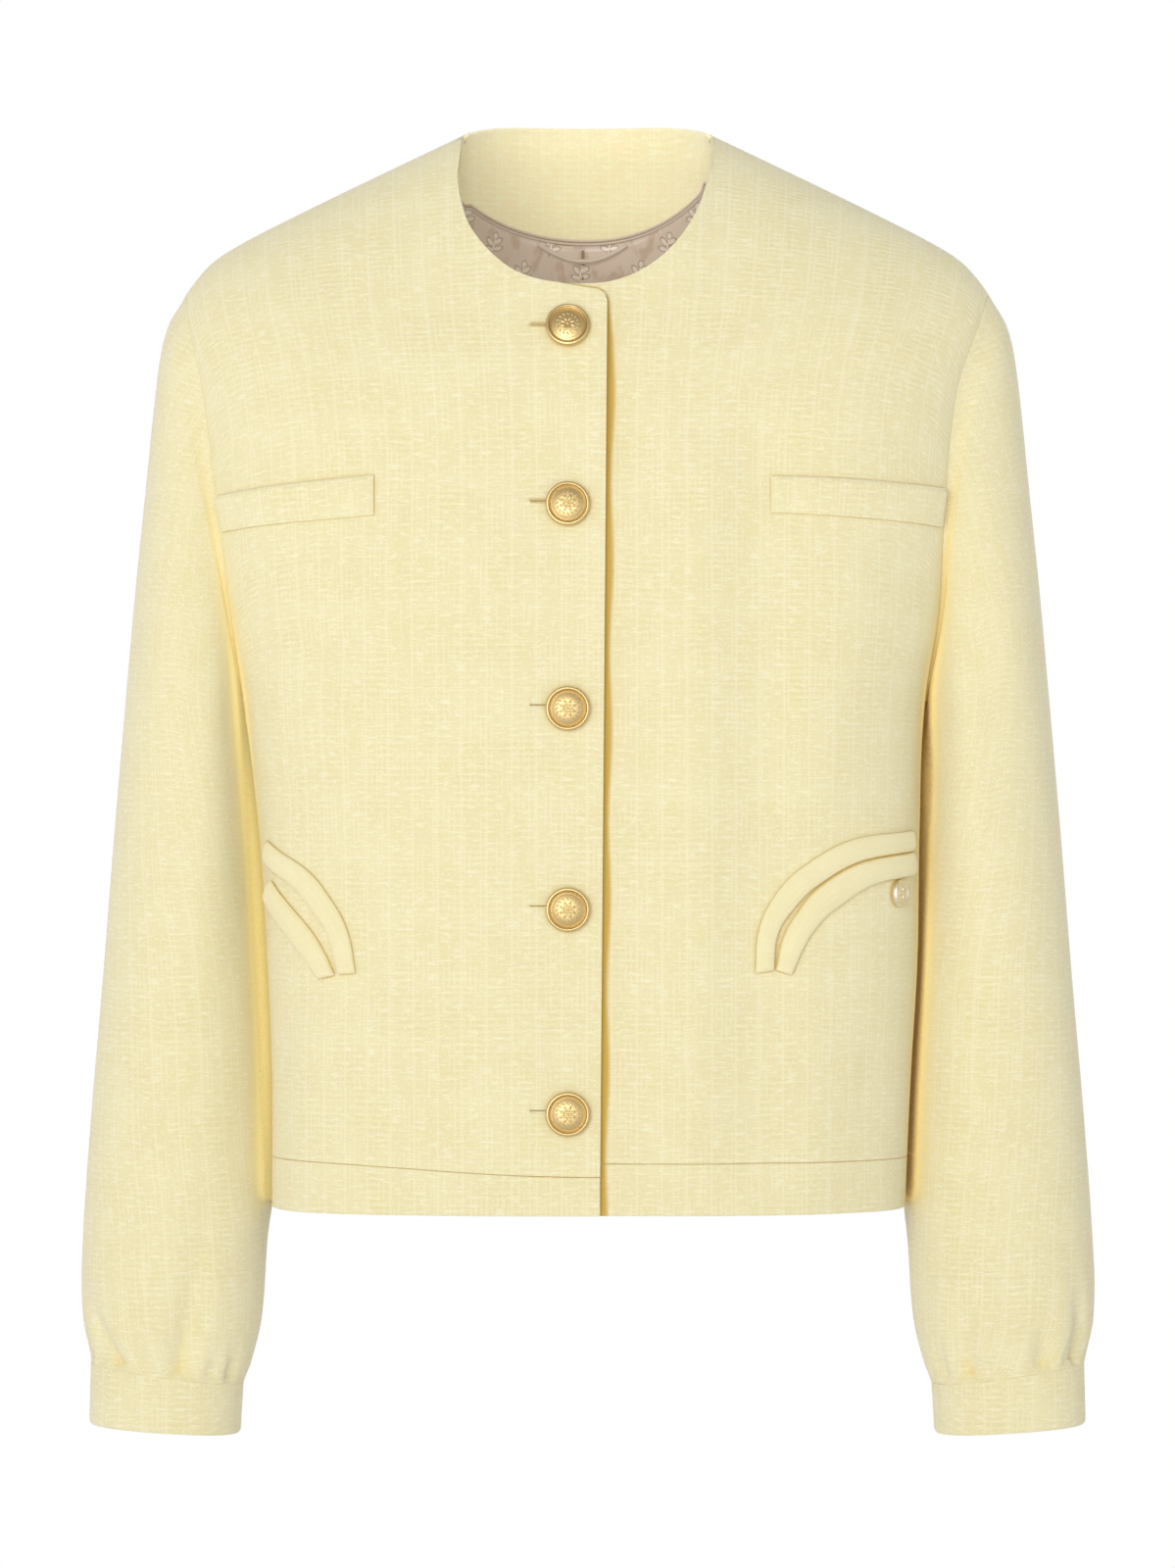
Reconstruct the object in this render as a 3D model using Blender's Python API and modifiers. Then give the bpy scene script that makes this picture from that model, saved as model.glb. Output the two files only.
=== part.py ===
"""Collarless cropped tweed jacket, filled out as if it were worn.

Metres, +Z up. The front faces -Y and the wearer's left side is +X. The origin
is in the middle of the neck, level with the neck ends of the shoulder seams.

The torso is one form: an oval section at every height, which closes over the
shoulders in an arch. A place on it is an angle from the centre line (0) to the
side seam (90 degrees, minus on the wearer's right) and a height. Each panel is
a net of such places between its own four edges, and a wall is lofted from the
net and the same net moved in by the cloth's thickness, so that neighbouring
pieces are cut square to the seam they share.
"""
import math
from collections import namedtuple

import bmesh
import bpy
from mathutils import Matrix, Vector

# ------------------------------------------------------------------ cloth
TWEED = 0.0020
CUFF_CLOTH = 0.0024
FACING_CLOTH = 0.0015
LINING_CLOTH = 0.0010
SEAM_GAP = 0.0003
SEAM_FADE = 0.0040
LAYER_GAP = 0.0003
FACING_GAP = 0.0016
LINING_GAP = 0.0018
WELT_LIFT = 0.0008

# ------------------------------------------------------------------ torso form
# Half-widths on the wearer's right and left, depths in front and behind.
Level = namedtuple("Level", "z right left front back")
BODY_LEVELS = (
    Level(-0.5460, 0.1605, 0.1615, 0.1130, 0.1060),
    Level(-0.4800, 0.1605, 0.1645, 0.1135, 0.1050),
    Level(-0.4200, 0.1630, 0.1680, 0.1140, 0.1050),
    Level(-0.3560, 0.1670, 0.1690, 0.1160, 0.1070),
    Level(-0.2900, 0.1755, 0.1720, 0.1180, 0.1110),
    Level(-0.2410, 0.1870, 0.1840, 0.1170, 0.1140),
    Level(-0.1900, 0.1970, 0.1900, 0.1130, 0.1150),
    Level(-0.1300, 0.2060, 0.1975, 0.1060, 0.1140),
    Level(-0.0830, 0.2200, 0.2150, 0.0990, 0.1110),
    Level(0.0100, 0.2300, 0.2300, 0.0940, 0.1060),
)
SECTION_POWER = 2.8
CHEST = -0.1650
ARCH_POWER = 1.9

# Height of the shoulder seam along its length.
Ridge = namedtuple("Ridge", "x height")
NECK_HALF_WIDTH = 0.0640
SHOULDER_RIDGE = (
    Ridge(0.0640, -0.0010),
    Ridge(0.1070, -0.0215),
    Ridge(0.1480, -0.0415),
    Ridge(0.1770, -0.0565),
    Ridge(0.1920, -0.0665),
    Ridge(0.2040, -0.0810),
    Ridge(0.2120, -0.0960),
)
NECK_RISE_FRONT = 0.0300
NECK_RISE_BACK = 0.0490

# ------------------------------------------------------------------ edges
HEM = -0.5460
HEM_SEAM = -0.5200
HEM_SEAM_RIGHT_DROP = 0.0065
UNDERARM = -0.2900
SHOULDER_POINT = -0.0820
ARMHOLE_FRONT = 0.0560
ARMHOLE_BACK = 0.0600
ARMHOLE_POWER = 2.3
ARMHOLE_OUTSIDE = 0.0300

BUTTON_LINE = -0.0098
LAP_EDGE = 0.0090
UNDERLAP_EDGE = -0.0290
LAP_CORNER = 0.0060
LAP_CORNER_SHARE = 0.08
LAP_STEP = 0.0034
LAP_FADE = 0.0450

FRONT_NECK_DROP = 0.0815
FRONT_NECK_POWER = {-1: 2.75, 1: 2.05}
NECK_SAG_START = -0.0140
NECK_SAG_SLOPE = 0.16
BACK_NECK_TOP = 0.0070
BACK_NECK_POWER = 5.0

# ------------------------------------------------------------------ net sizes
ROWS_BELOW_ARM = 7
ROWS_ON_ARMHOLE = 13
COLUMNS_ON_NECK = 7
COLUMNS_ON_SHOULDER = 7
COLUMNS_ON_BACK_NECK = 10
HEM_BAND_ROWS = 1
EDGE_PULL = 2.0
ROW_CROWDING = 1.3

# ------------------------------------------------------------------ sleeves
# Outer and inner edge as seen from the front, and reach forwards and backwards.
SleeveLevel = namedtuple("SleeveLevel", "z outer inner front back")
SLEEVE_LEVELS = (
    SleeveLevel(-0.6360, 0.2520, 0.1755, 0.0410, 0.0330),
    SleeveLevel(-0.6260, 0.2532, 0.1715, 0.0450, 0.0380),
    SleeveLevel(-0.6020, 0.2580, 0.1660, 0.0510, 0.0440),
    SleeveLevel(-0.5600, 0.2570, 0.1640, 0.0530, 0.0480),
    SleeveLevel(-0.5010, 0.2530, 0.1655, 0.0550, 0.0550),
    SleeveLevel(-0.4310, 0.2470, 0.1690, 0.0590, 0.0640),
    SleeveLevel(-0.3560, 0.2410, 0.1730, 0.0660, 0.0780),
    SleeveLevel(-0.2810, 0.2345, 0.1780, 0.0700, 0.0860),
    SleeveLevel(-0.2310, 0.2300, 0.1800, 0.0660, 0.0800),
    SleeveLevel(-0.1710, 0.2240, 0.1800, 0.0580, 0.0640),
    SleeveLevel(-0.1410, 0.2210, 0.1800, 0.0560, 0.0600),
    SleeveLevel(-0.1115, 0.2172, 0.1800, 0.0560, 0.0600),
    SleeveLevel(-0.0965, 0.2130, 0.1800, 0.0560, 0.0600),
    SleeveLevel(-0.0820, 0.2045, 0.1800, 0.0560, 0.0600),
)
SLEEVE_TOP = SHOULDER_POINT
SLEEVE_END_OUTER = -0.6260
SLEEVE_END_INNER = -0.6365
SLEEVE_RINGS = 22
RING_SPREAD = 1.15
SLEEVE_POWER = 2.3
TILT_END = 0.70
TILT_POWER = 1.5
CAP_BLEND = 0.30
BODY_CLEARANCE = 0.0030
CLEARANCE_SHARE = 0.25
# Behind the side seam the upper sleeve wraps inwards round the back.
WRAP_REACH = 0.0180
WRAP_TOP = -0.2400
WRAP_END = -0.6000
WRAP_START = 0.0600
WRAP_FADE = 0.1000
WRAP_DEPTH = 0.0400
FIRST_RING = 0.0030
UNDERARM_ONWARDS = 0.50
UNDERARM_SIDEWAYS = 0.85

# Soft folds where each sleeve is gathered into its cuff. The turn is counted
# from the underarm over the front to the outside (180) and round the back.
Fold = namedtuple("Fold", "turn reach depth width lean")
FOLD_START = 0.0040
CUFF_FOLDS = {
    -1: (
        Fold(38, 0.016, 0.0020, 10, 4),
        Fold(88, 0.040, 0.0048, 11, -5),
        Fold(122, 0.028, 0.0036, 9, 22),
        Fold(168, 0.020, 0.0022, 11, 4),
        Fold(214, 0.034, 0.0040, 11, -9),
        Fold(262, 0.042, 0.0046, 12, 8),
        Fold(312, 0.024, 0.0032, 11, -6),
    ),
    1: (
        Fold(60, 0.026, 0.0042, 11, 5),
        Fold(117, 0.020, 0.0036, 10, -4),
        Fold(154, 0.030, 0.0034, 10, -8),
        Fold(205, 0.038, 0.0044, 12, 10),
        Fold(252, 0.026, 0.0036, 11, -5),
        Fold(300, 0.036, 0.0042, 12, 7),
    ),
}

CUFF_TOP_OUTER = -0.6263
CUFF_TOP_INNER = -0.6368
CUFF_END_OUTER = -0.6570
CUFF_END_INNER = -0.6620
CUFF_ROWS = 2
CUFF_FLARE_OUTER = 0.0008
CUFF_FLARE_INNER = 0.0015

# ------------------------------------------------------------------ inside neck
FACING_DEPTH = 0.0465
FACING_LIFT = 0.0380
FACING_END = 0.1050
FACING_POWER = 1.6
FACING_ROWS = 3
FACING_SHOULDER_COLUMNS = 1
PIPING_RADIUS = 0.0012
LINING_ROWS = 10
LINING_END = -0.5160
LINING_INSET = 0.15
LINING_SHOULDER_DROP = 0.0050
LOOP_COLUMNS = 1.25
LOOP_DROP = 0.0055
LOOP_STAND = 0.0030
LOOP_STEPS = 12
LOOP_RADIUS = 0.0012

# ------------------------------------------------------------------ pockets
# Chest welts: inner end, and heights of the upper and lower edge at both ends.
ChestWelt = namedtuple("ChestWelt", "inner top_inner top_outer low_inner low_outer")
CHEST_WELTS = {
    -1: ChestWelt(0.1060, -0.1780, -0.1870, -0.1980, -0.2050),
    1: ChestWelt(0.0915, -0.1782, -0.1830, -0.1965, -0.2025),
}
CHEST_WELT_HEIGHT = 0.0023
CHEST_WELT_COLUMNS = 8
CHEST_WELT_ROUNDING = ((0.0, 0.45), (0.12, 0.95), (0.5, 1.0), (0.88, 0.95), (1.0, 0.45))
CHEST_WELT_END = 1.2

# Hip pockets: each welt lies between two curves, both drawn in girth and height
# through a few stations, from its foot to its outer end. They are wider where
# the mouth runs level than at the foot.
WeltStation = namedtuple("WeltStation", "share high_girth high_z low_girth low_z")
HIP_WELTS = {
    ("upper", -1): (
        WeltStation(0.00, 0.1185, -0.4257, 0.1280, -0.4263),
        WeltStation(0.25, 0.1229, -0.4057, 0.1333, -0.4092),
        WeltStation(0.50, 0.1327, -0.3897, 0.1417, -0.3971),
        WeltStation(0.75, 0.1503, -0.3736, 0.1590, -0.3822),
        WeltStation(1.00, 0.1850, -0.3600, 0.1890, -0.3705),
    ),
    ("lower", -1): (
        WeltStation(0.00, 0.1304, -0.4268, 0.1402, -0.4289),
        WeltStation(0.25, 0.1368, -0.4156, 0.1488, -0.4190),
        WeltStation(0.50, 0.1460, -0.4045, 0.1588, -0.4108),
        WeltStation(0.75, 0.1603, -0.3934, 0.1712, -0.4020),
        WeltStation(1.00, 0.1820, -0.3800, 0.1930, -0.3896),
    ),
    ("upper", 1): (
        WeltStation(0.00, 0.0848, -0.4254, 0.0930, -0.4240),
        WeltStation(0.20, 0.0861, -0.4059, 0.0951, -0.4079),
        WeltStation(0.40, 0.0931, -0.3899, 0.1002, -0.3950),
        WeltStation(0.60, 0.1087, -0.3734, 0.1146, -0.3801),
        WeltStation(0.80, 0.1379, -0.3594, 0.1415, -0.3683),
        WeltStation(1.00, 0.1880, -0.3552, 0.1890, -0.3636),
    ),
    ("lower", 1): (
        WeltStation(0.00, 0.0948, -0.4240, 0.1026, -0.4265),
        WeltStation(0.20, 0.0974, -0.4094, 0.1076, -0.4144),
        WeltStation(0.40, 0.1036, -0.3975, 0.1139, -0.4043),
        WeltStation(0.60, 0.1170, -0.3829, 0.1254, -0.3940),
        WeltStation(0.80, 0.1432, -0.3704, 0.1512, -0.3812),
        WeltStation(1.00, 0.1893, -0.3656, 0.1925, -0.3772),
    ),
}
HIP_WELT_HEIGHT = 0.0034
HIP_WELT_EDGE = 0.0004
HIP_WELT_POWER = 0.8
HIP_WELT_STEPS = 13
HIP_WELT_SIDES = 6

# ------------------------------------------------------------------ buttons
BUTTON_HEIGHTS = (-0.1040, -0.1928, -0.2940, -0.3936, -0.4951)
BUTTON_RADIUS = 0.0110
BUTTON_STAND = 0.0008
BUTTON_STEPS = 16
SHANK_RADIUS = 0.0015
# Button profile: radius and height as shares of the button's radius.
BUTTON_PROFILE = (
    (0.00, 0.52), (0.32, 0.49), (0.58, 0.38), (0.72, 0.26), (0.78, 0.36),
    (0.92, 0.36), (1.00, 0.22), (0.97, 0.08), (0.55, 0.00),
)
HOLE_LENGTH = 0.0220
HOLE_WIDTH = 0.0014
HOLE_EYE = 0.0021
HOLE_EYE_SIDES = 10
CUTTER_REACH = 0.0060

STUD_GIRTH = 0.1722
STUD_HEIGHT = -0.3862
STUD_RADIUS = 0.0070
STUD_PROFILE = ((0.00, 0.34), (0.60, 0.33), (0.74, 0.30), (0.84, 0.42), (1.00, 0.28), (0.96, 0.00))

# ------------------------------------------------------------------ finishes
Finish = namedtuple("Finish", "color roughness metallic")
FINISHES = {
    "tweed": Finish((0.88, 0.80, 0.46), 0.95, 0.0),
    "lining": Finish((0.42, 0.34, 0.28), 0.45, 0.0),
    "gold": Finish((0.72, 0.53, 0.24), 0.35, 1.0),
}


# ================================================================== small tools
def mix(start, end, share):
    """The value part of the way from start to end."""
    return start + (end - start) * share


def ease(share):
    """A share from 0 to 1, slow at both ends."""
    share = min(max(share, 0.0), 1.0)
    return share * share * (3.0 - 2.0 * share)


def power(value, exponent):
    """A power that keeps the value's sign."""
    return math.copysign(abs(value) ** exponent, value)


def read_curve(table, column, key):
    """A named column at a key, on a smooth curve through the table's rows."""
    keys = [row[0] for row in table]
    values = [getattr(row, column) for row in table]
    last = len(keys) - 1
    if key <= keys[0]:
        return values[0]
    if key >= keys[last]:
        return values[last]
    row = next(i for i in range(last) if key <= keys[i + 1])
    step = keys[row + 1] - keys[row]

    def slope(i):
        before = max(i - 1, 0)
        after = min(i + 1, last)
        return (values[after] - values[before]) / (keys[after] - keys[before])

    t = (key - keys[row]) / step
    return (
        values[row] * (1 + 2 * t) * (1 - t) ** 2
        + slope(row) * step * t * (1 - t) ** 2
        + values[row + 1] * t * t * (3 - 2 * t)
        + slope(row + 1) * step * t * t * (t - 1)
    )


def spread(path, count, samples=240):
    """Count + 1 places at even distances along a path of (place, position)."""
    stops = [path(i / samples) for i in range(samples + 1)]
    lengths = [0.0]
    for before, after in zip(stops, stops[1:]):
        lengths.append(lengths[-1] + (after[1] - before[1]).length)
    places = []
    for i in range(count + 1):
        goal = lengths[-1] * i / count
        k = min(next(j for j, reached in enumerate(lengths) if reached >= goal - 1e-12), samples)
        if k == 0:
            places.append(stops[0][0])
            continue
        share = (goal - lengths[k - 1]) / (lengths[k] - lengths[k - 1])
        places.append(tuple(mix(a, b, share) for a, b in zip(stops[k - 1][0], stops[k][0])))
    return places


# ================================================================== torso form
def half_width(side, z):
    return read_curve(BODY_LEVELS, "right" if side < 0 else "left", z)


def ridge_height(x, back):
    """Height at which front and back meet over the place x."""
    x = abs(x)
    if x >= NECK_HALF_WIDTH:
        return read_curve(SHOULDER_RIDGE, "height", x)
    rise = NECK_RISE_BACK if back else NECK_RISE_FRONT
    return SHOULDER_RIDGE[0].height + rise * (1.0 - (x / NECK_HALF_WIDTH) ** 2)


def torso_point(back, angle, z):
    """A point of the torso's outer face."""
    sine = math.sin(math.radians(angle))
    x = half_width(angle, z) * sine
    depth = read_curve(BODY_LEVELS, "back" if back else "front", z)
    depth *= max(1.0 - abs(sine) ** SECTION_POWER, 0.0) ** (1.0 / SECTION_POWER)
    if z > CHEST:
        rise = min((z - CHEST) / (ridge_height(x, back) - CHEST), 1.0)
        depth *= (1.0 - rise * rise) ** (1.0 / ARCH_POWER)
    return Vector((x, depth if back else -depth, z))


def torso_normal(back, angle, z, step=0.02):
    """The outward direction of the torso's outer face."""
    side = -1.0 if angle < 0 else 1.0
    here = torso_point(back, angle, z)
    ridge = ridge_height(here.x, back)
    if abs(here.x) >= NECK_HALF_WIDTH - 1e-5 and z > ridge - 2e-5:
        reach = 0.001
        slope = (ridge_height(abs(here.x) + reach, back) - ridge_height(abs(here.x), back)) / reach
        return Vector((-slope * side, 0.0, 1.0)).normalized()
    across = here - torso_point(back, angle - side * step, z)
    up = here - torso_point(back, angle, z - 0.0004)
    normal = across.cross(up)
    if normal.dot(Vector((here.x, here.y, 0.02))) < 0:
        normal.negate()
    return normal.normalized()


def angle_at(x, z):
    """The angle at which the torso's face has this x."""
    return math.degrees(math.asin(max(-1.0, min(1.0, x / half_width(x, z)))))


def angle_at_girth(side, girth, z):
    """The angle this far round the front from the centre line, at a height."""
    travelled = 0.0
    before = torso_point(False, 0.0, z)
    for tenth in range(1, 901):
        after = torso_point(False, side * tenth / 10, z)
        travelled += (after - before).length
        before = after
        if travelled >= girth:
            return side * tenth / 10
    return side * 90.0


def armhole_place(side, back, share):
    """Angle and height on the armhole, from the underarm (0) to the shoulder (1)."""
    turn = math.pi * share
    middle = (UNDERARM + SHOULDER_POINT) / 2
    z = middle - (SHOULDER_POINT - UNDERARM) / 2 * power(math.cos(turn), 2 / ARMHOLE_POWER)
    reach = ARMHOLE_BACK if back else ARMHOLE_FRONT
    depth = reach * max(math.sin(turn), 0.0) ** (2 / ARMHOLE_POWER)
    low = 30.0
    high = 90.0
    for _ in range(40):
        angle = (low + high) / 2
        if abs(torso_point(back, side * angle, z).y) > max(depth, 1e-6):
            low = angle
        else:
            high = angle
    return side * low, z


def armhole_places(side, back, count):
    def path(share):
        place = armhole_place(side, back, share)
        return place, torso_point(back, *place)
    return spread(path, count)


# ================================================================== panel nets
def hem_seam(side, back, x):
    """Height of the seam above the hem band."""
    if back or side > 0:
        return HEM_SEAM
    return HEM_SEAM - HEM_SEAM_RIGHT_DROP * ease(1.0 + x / half_width(side, HEM_SEAM))


def front_neck_height(side, x):
    """Height of the front neckline at x."""
    sag = NECK_SAG_SLOPE * max(x - NECK_SAG_START, 0.0) if side < 0 else 0.0
    share = min(abs(x) / NECK_HALF_WIDTH, 1.0) if x * side > 0 else 0.0
    exponent = FRONT_NECK_POWER[side]
    top = SHOULDER_RIDGE[0].height
    return top - (FRONT_NECK_DROP + top) * (1.0 - share ** exponent) ** (1 / exponent) - sag


def front_neckline(side, count):
    """Places along the front neckline, from the front edge to the shoulder."""
    edge = LAP_EDGE if side < 0 else UNDERLAP_EDGE
    corner = LAP_CORNER if side < 0 else 0.0
    corner_share = LAP_CORNER_SHARE if side < 0 else 0.0

    def path(share):
        if share < corner_share:
            turn = math.radians(90 * share / corner_share)
            x = edge - corner * (1 - math.cos(turn))
            z = front_neck_height(side, edge - corner) - corner * (1 - math.sin(turn))
        else:
            turn = math.radians(90) * (share - corner_share) / (1 - corner_share)
            x = mix(edge - corner, side * NECK_HALF_WIDTH, math.sin(turn))
            z = front_neck_height(side, x)
        place = (angle_at(x, z), z)
        return place, torso_point(False, *place)
    return spread(path, count)


def back_neckline(count):
    """Places along the back neckline, from the right shoulder to the left."""
    def path(share):
        x = -NECK_HALF_WIDTH * math.cos(math.pi * share)
        low = SHOULDER_RIDGE[0].height
        rise = (BACK_NECK_TOP - low) * (1.0 - abs(x / NECK_HALF_WIDTH) ** BACK_NECK_POWER) ** 0.5
        place = (angle_at(x, low + rise), low + rise)
        return place, torso_point(True, *place)
    return spread(path, count)


def shoulder_seam(side, count):
    """Places along the shoulder seam, from the neck to the armhole."""
    end = armhole_place(side, False, 1.0)
    far = abs(torso_point(False, *end).x)

    def path(share):
        x = mix(NECK_HALF_WIDTH, far, share)
        z = ridge_height(x, False)
        place = (angle_at(side * x, z), z)
        return place, Vector((side * x, 0.0, z))
    return spread(path, count)


def side_edge(side, back, bottom, rows_below, rows_above):
    """Places up the side seam and then up the armhole."""
    below = [(side * 90.0, mix(bottom, UNDERARM, j / rows_below)) for j in range(rows_below)]
    return below + armhole_places(side, back, rows_above)


def girth_places(side, back, start_angle, end_angle, height, count):
    """Places at even distances round the torso, at a height worked out from x."""
    def path(share):
        angle = mix(start_angle, end_angle, share)
        x = half_width(angle, HEM_SEAM) * math.sin(math.radians(angle))
        place = (angle, height(x))
        return place, torso_point(back, *place)
    return spread(path, count)


def crowd(share):
    """A share of a panel's height, with the rows closer together near the top."""
    return 1.0 - (1.0 - share) ** ROW_CROWDING


def net_between(bottom, top, first, last):
    """A net of places between four edges, as rows from bottom to top.

    Each place lies on the straight line between the bottom and top edges, moved
    by a share of what the nearest side edge bends away from its own line.
    """
    columns = len(bottom) - 1
    rows = len(first) - 1
    net = []
    for j in range(rows + 1):
        up = crowd(j / rows)
        row = []
        for i in range(columns + 1):
            near_first = (1 - i / columns) ** EDGE_PULL
            near_last = (i / columns) ** EDGE_PULL
            place = []
            for k in range(2):
                bend_first = first[j][k] - mix(bottom[0][k], top[0][k], up)
                bend_last = last[j][k] - mix(bottom[-1][k], top[-1][k], up)
                straight = mix(bottom[i][k], top[i][k], up)
                place.append(straight + near_first * bend_first + near_last * bend_last)
            row.append(tuple(place))
        net.append(row)
    return net


def front_net(side):
    """The net of a front panel, from its edge to the side seam and armhole."""
    neck = front_neckline(side, COLUMNS_ON_NECK)
    top = neck[:-1] + shoulder_seam(side, COLUMNS_ON_SHOULDER)
    edge = LAP_EDGE if side < 0 else UNDERLAP_EDGE
    rows = ROWS_BELOW_ARM + ROWS_ON_ARMHOLE

    def height(x):
        return hem_seam(side, False, x) + SEAM_GAP / 2

    start = angle_at(edge, HEM_SEAM)
    bottom = girth_places(side, False, start, side * 90.0, height, len(top) - 1)
    heights = [mix(bottom[0][1], top[0][1], crowd(j / rows)) for j in range(rows + 1)]
    first = [(angle_at(edge, z), z) for z in heights]
    last = side_edge(side, False, bottom[-1][1], ROWS_BELOW_ARM, ROWS_ON_ARMHOLE)
    return net_between(bottom, top, first, last)


def back_net():
    """The net of the back, from the right side to the left."""
    right = shoulder_seam(-1, COLUMNS_ON_SHOULDER)
    left = shoulder_seam(1, COLUMNS_ON_SHOULDER)
    top = right[::-1][:-1] + back_neckline(COLUMNS_ON_BACK_NECK)[:-1] + left

    def height(x):
        return HEM_SEAM + SEAM_GAP / 2

    bottom = girth_places(1, True, -90.0, 90.0, height, len(top) - 1)
    first = side_edge(-1, True, bottom[0][1], ROWS_BELOW_ARM, ROWS_ON_ARMHOLE)
    last = side_edge(1, True, bottom[-1][1], ROWS_BELOW_ARM, ROWS_ON_ARMHOLE)
    return net_between(bottom, top, first, last)


def lap_step(side, x):
    """How far the under front lies behind the front that laps over it."""
    if side < 0:
        return 0.0
    return LAP_STEP * (1.0 - ease((x - LAP_EDGE) / LAP_FADE))


def skin_point(side, back, angle, z, depth):
    """A point and normal of a panel's skin, this far in from its outer face."""
    point = torso_point(back, angle, z)
    normal = torso_normal(back, angle, z)
    if not back:
        point.y += lap_step(side, point.x)
    parting = ease(1.0 - abs(point.y) / SEAM_FADE) * SEAM_GAP / 2
    point.y += parting if back else -parting
    return point - normal * depth


def skins(side, back, net, outer_depth, thickness):
    """The outer and inner nets of points of a wall over a net of places."""
    outer = [[skin_point(side, back, a, z, outer_depth) for a, z in row] for row in net]
    inner = [[skin_point(side, back, a, z, outer_depth + thickness) for a, z in row] for row in net]
    return outer, inner


# ================================================================== walls
def grid_faces(mesh, verts, flip, closed):
    """Quads over a grid of vertices."""
    columns = len(verts[0])
    for j in range(len(verts) - 1):
        for i in range(columns if closed else columns - 1):
            k = (i + 1) % columns
            corners = [verts[j][i], verts[j][k], verts[j + 1][k], verts[j + 1][i]]
            mesh.faces.new(corners[::-1] if flip else corners)


def strip_faces(mesh, first, second, closed):
    """Quads between two rows of vertices, for a wall's cut edge."""
    count = len(first)
    for i in range(count if closed else count - 1):
        k = (i + 1) % count
        mesh.faces.new([first[i], first[k], second[k], second[i]])


def wall_object(name, outer, inner, finish, closed=False):
    """A closed wall between an outer and an inner grid of points."""
    mesh = bmesh.new()
    out = [[mesh.verts.new(p) for p in row] for row in outer]
    ins = [[mesh.verts.new(p) for p in row] for row in inner]
    grid_faces(mesh, out, False, closed)
    grid_faces(mesh, ins, True, closed)
    strip_faces(mesh, out[0], ins[0], closed)
    strip_faces(mesh, out[-1], ins[-1], closed)
    if not closed:
        strip_faces(mesh, [row[0] for row in out], [row[0] for row in ins], False)
        strip_faces(mesh, [row[-1] for row in out], [row[-1] for row in ins], False)
    bmesh.ops.recalc_face_normals(mesh, faces=mesh.faces)
    return finish_object(name, mesh, finish)


def finish_object(name, mesh, finish):
    """Turns a bmesh into a smooth shaded object of the jacket."""
    data = bpy.data.meshes.new(name)
    mesh.to_mesh(data)
    mesh.free()
    data.shade_smooth()
    data.set_sharp_from_angle(angle=math.radians(50))
    item = bpy.data.objects.new(name, data)
    data.materials.append(material(finish))
    JACKET.objects.link(item)
    return item


def material(name):
    """The Principled material of a finish, made once."""
    found = bpy.data.materials.get(name)
    if found:
        return found
    made = bpy.data.materials.new(name)
    made.use_nodes = True
    shader = made.node_tree.nodes["Principled BSDF"]
    look = FINISHES[name]
    shader.inputs["Base Color"].default_value = (*look.color, 1.0)
    shader.inputs["Roughness"].default_value = look.roughness
    shader.inputs["Metallic"].default_value = look.metallic
    return made


# ================================================================== panels
def make_fronts():
    fronts = {}
    for side, name in ((-1, "front_right"), (1, "front_left")):
        net = front_net(side)
        outer, inner = skins(side, False, net, 0.0, TWEED)
        fronts[side] = wall_object(name, outer, inner, "tweed")
        make_hem_band(side, False, [a for a, _ in net[0]], "hem_band_" + name)
    return fronts


def make_back():
    """The back and its hem band; gives back the outer points and normals."""
    net = back_net()
    outer, inner = skins(1, True, net, 0.0, TWEED)
    wall_object("back", outer, inner, "tweed")
    make_hem_band(1, True, [a for a, _ in net[0]], "hem_band_back")
    normals = [[torso_normal(True, a, z) for a, z in row] for row in net]
    return outer, normals


def make_hem_band(side, back, angles, name):
    """The band below a panel's hem seam, on the same columns."""
    net = []
    for j in range(HEM_BAND_ROWS + 1):
        row = []
        for angle in angles:
            x = half_width(angle, HEM_SEAM) * math.sin(math.radians(angle))
            top = hem_seam(side, back, x) - SEAM_GAP / 2
            row.append((angle, mix(HEM, top, j / HEM_BAND_ROWS)))
        net.append(row)
    outer, inner = skins(side, back, net, 0.0, TWEED)
    wall_object(name, outer, inner, "tweed")


# ================================================================== sleeves
def ring_frame(side, share):
    """Outer and inner ends of a sleeve's ring, and its reach front and back."""
    outer_z = mix(SLEEVE_TOP, SLEEVE_END_OUTER, share)
    tilt = max(1.0 - share / TILT_END, 0.0) ** TILT_POWER
    inner_z = outer_z - (SLEEVE_TOP - UNDERARM) * tilt - (SLEEVE_END_OUTER - SLEEVE_END_INNER) * share
    middle_z = (outer_z + inner_z) / 2
    outer = Vector((side * read_curve(SLEEVE_LEVELS, "outer", outer_z), 0.0, outer_z))
    inner = Vector((side * read_curve(SLEEVE_LEVELS, "inner", inner_z), 0.0, inner_z))
    front = read_curve(SLEEVE_LEVELS, "front", middle_z)
    back = read_curve(SLEEVE_LEVELS, "back", middle_z)
    return outer, inner, front, back


def oval_point(frame, turn):
    """A point of a ring; the turn runs from the inside over the front."""
    outer, inner, front, back = frame
    cosine = power(math.cos(turn), 2 / SLEEVE_POWER)
    sine = power(math.sin(turn), 2 / SLEEVE_POWER)
    point = (outer + inner) / 2 - (outer - inner) / 2 * cosine
    point.y -= sine * (front if sine > 0 else back)
    if point.y > 0:
        height = ease((WRAP_TOP - point.z) / WRAP_START) * ease((point.z - WRAP_END) / WRAP_FADE)
        point.x -= math.copysign(WRAP_REACH * ease(point.y / WRAP_DEPTH) * height, point.x)
    return point


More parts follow.
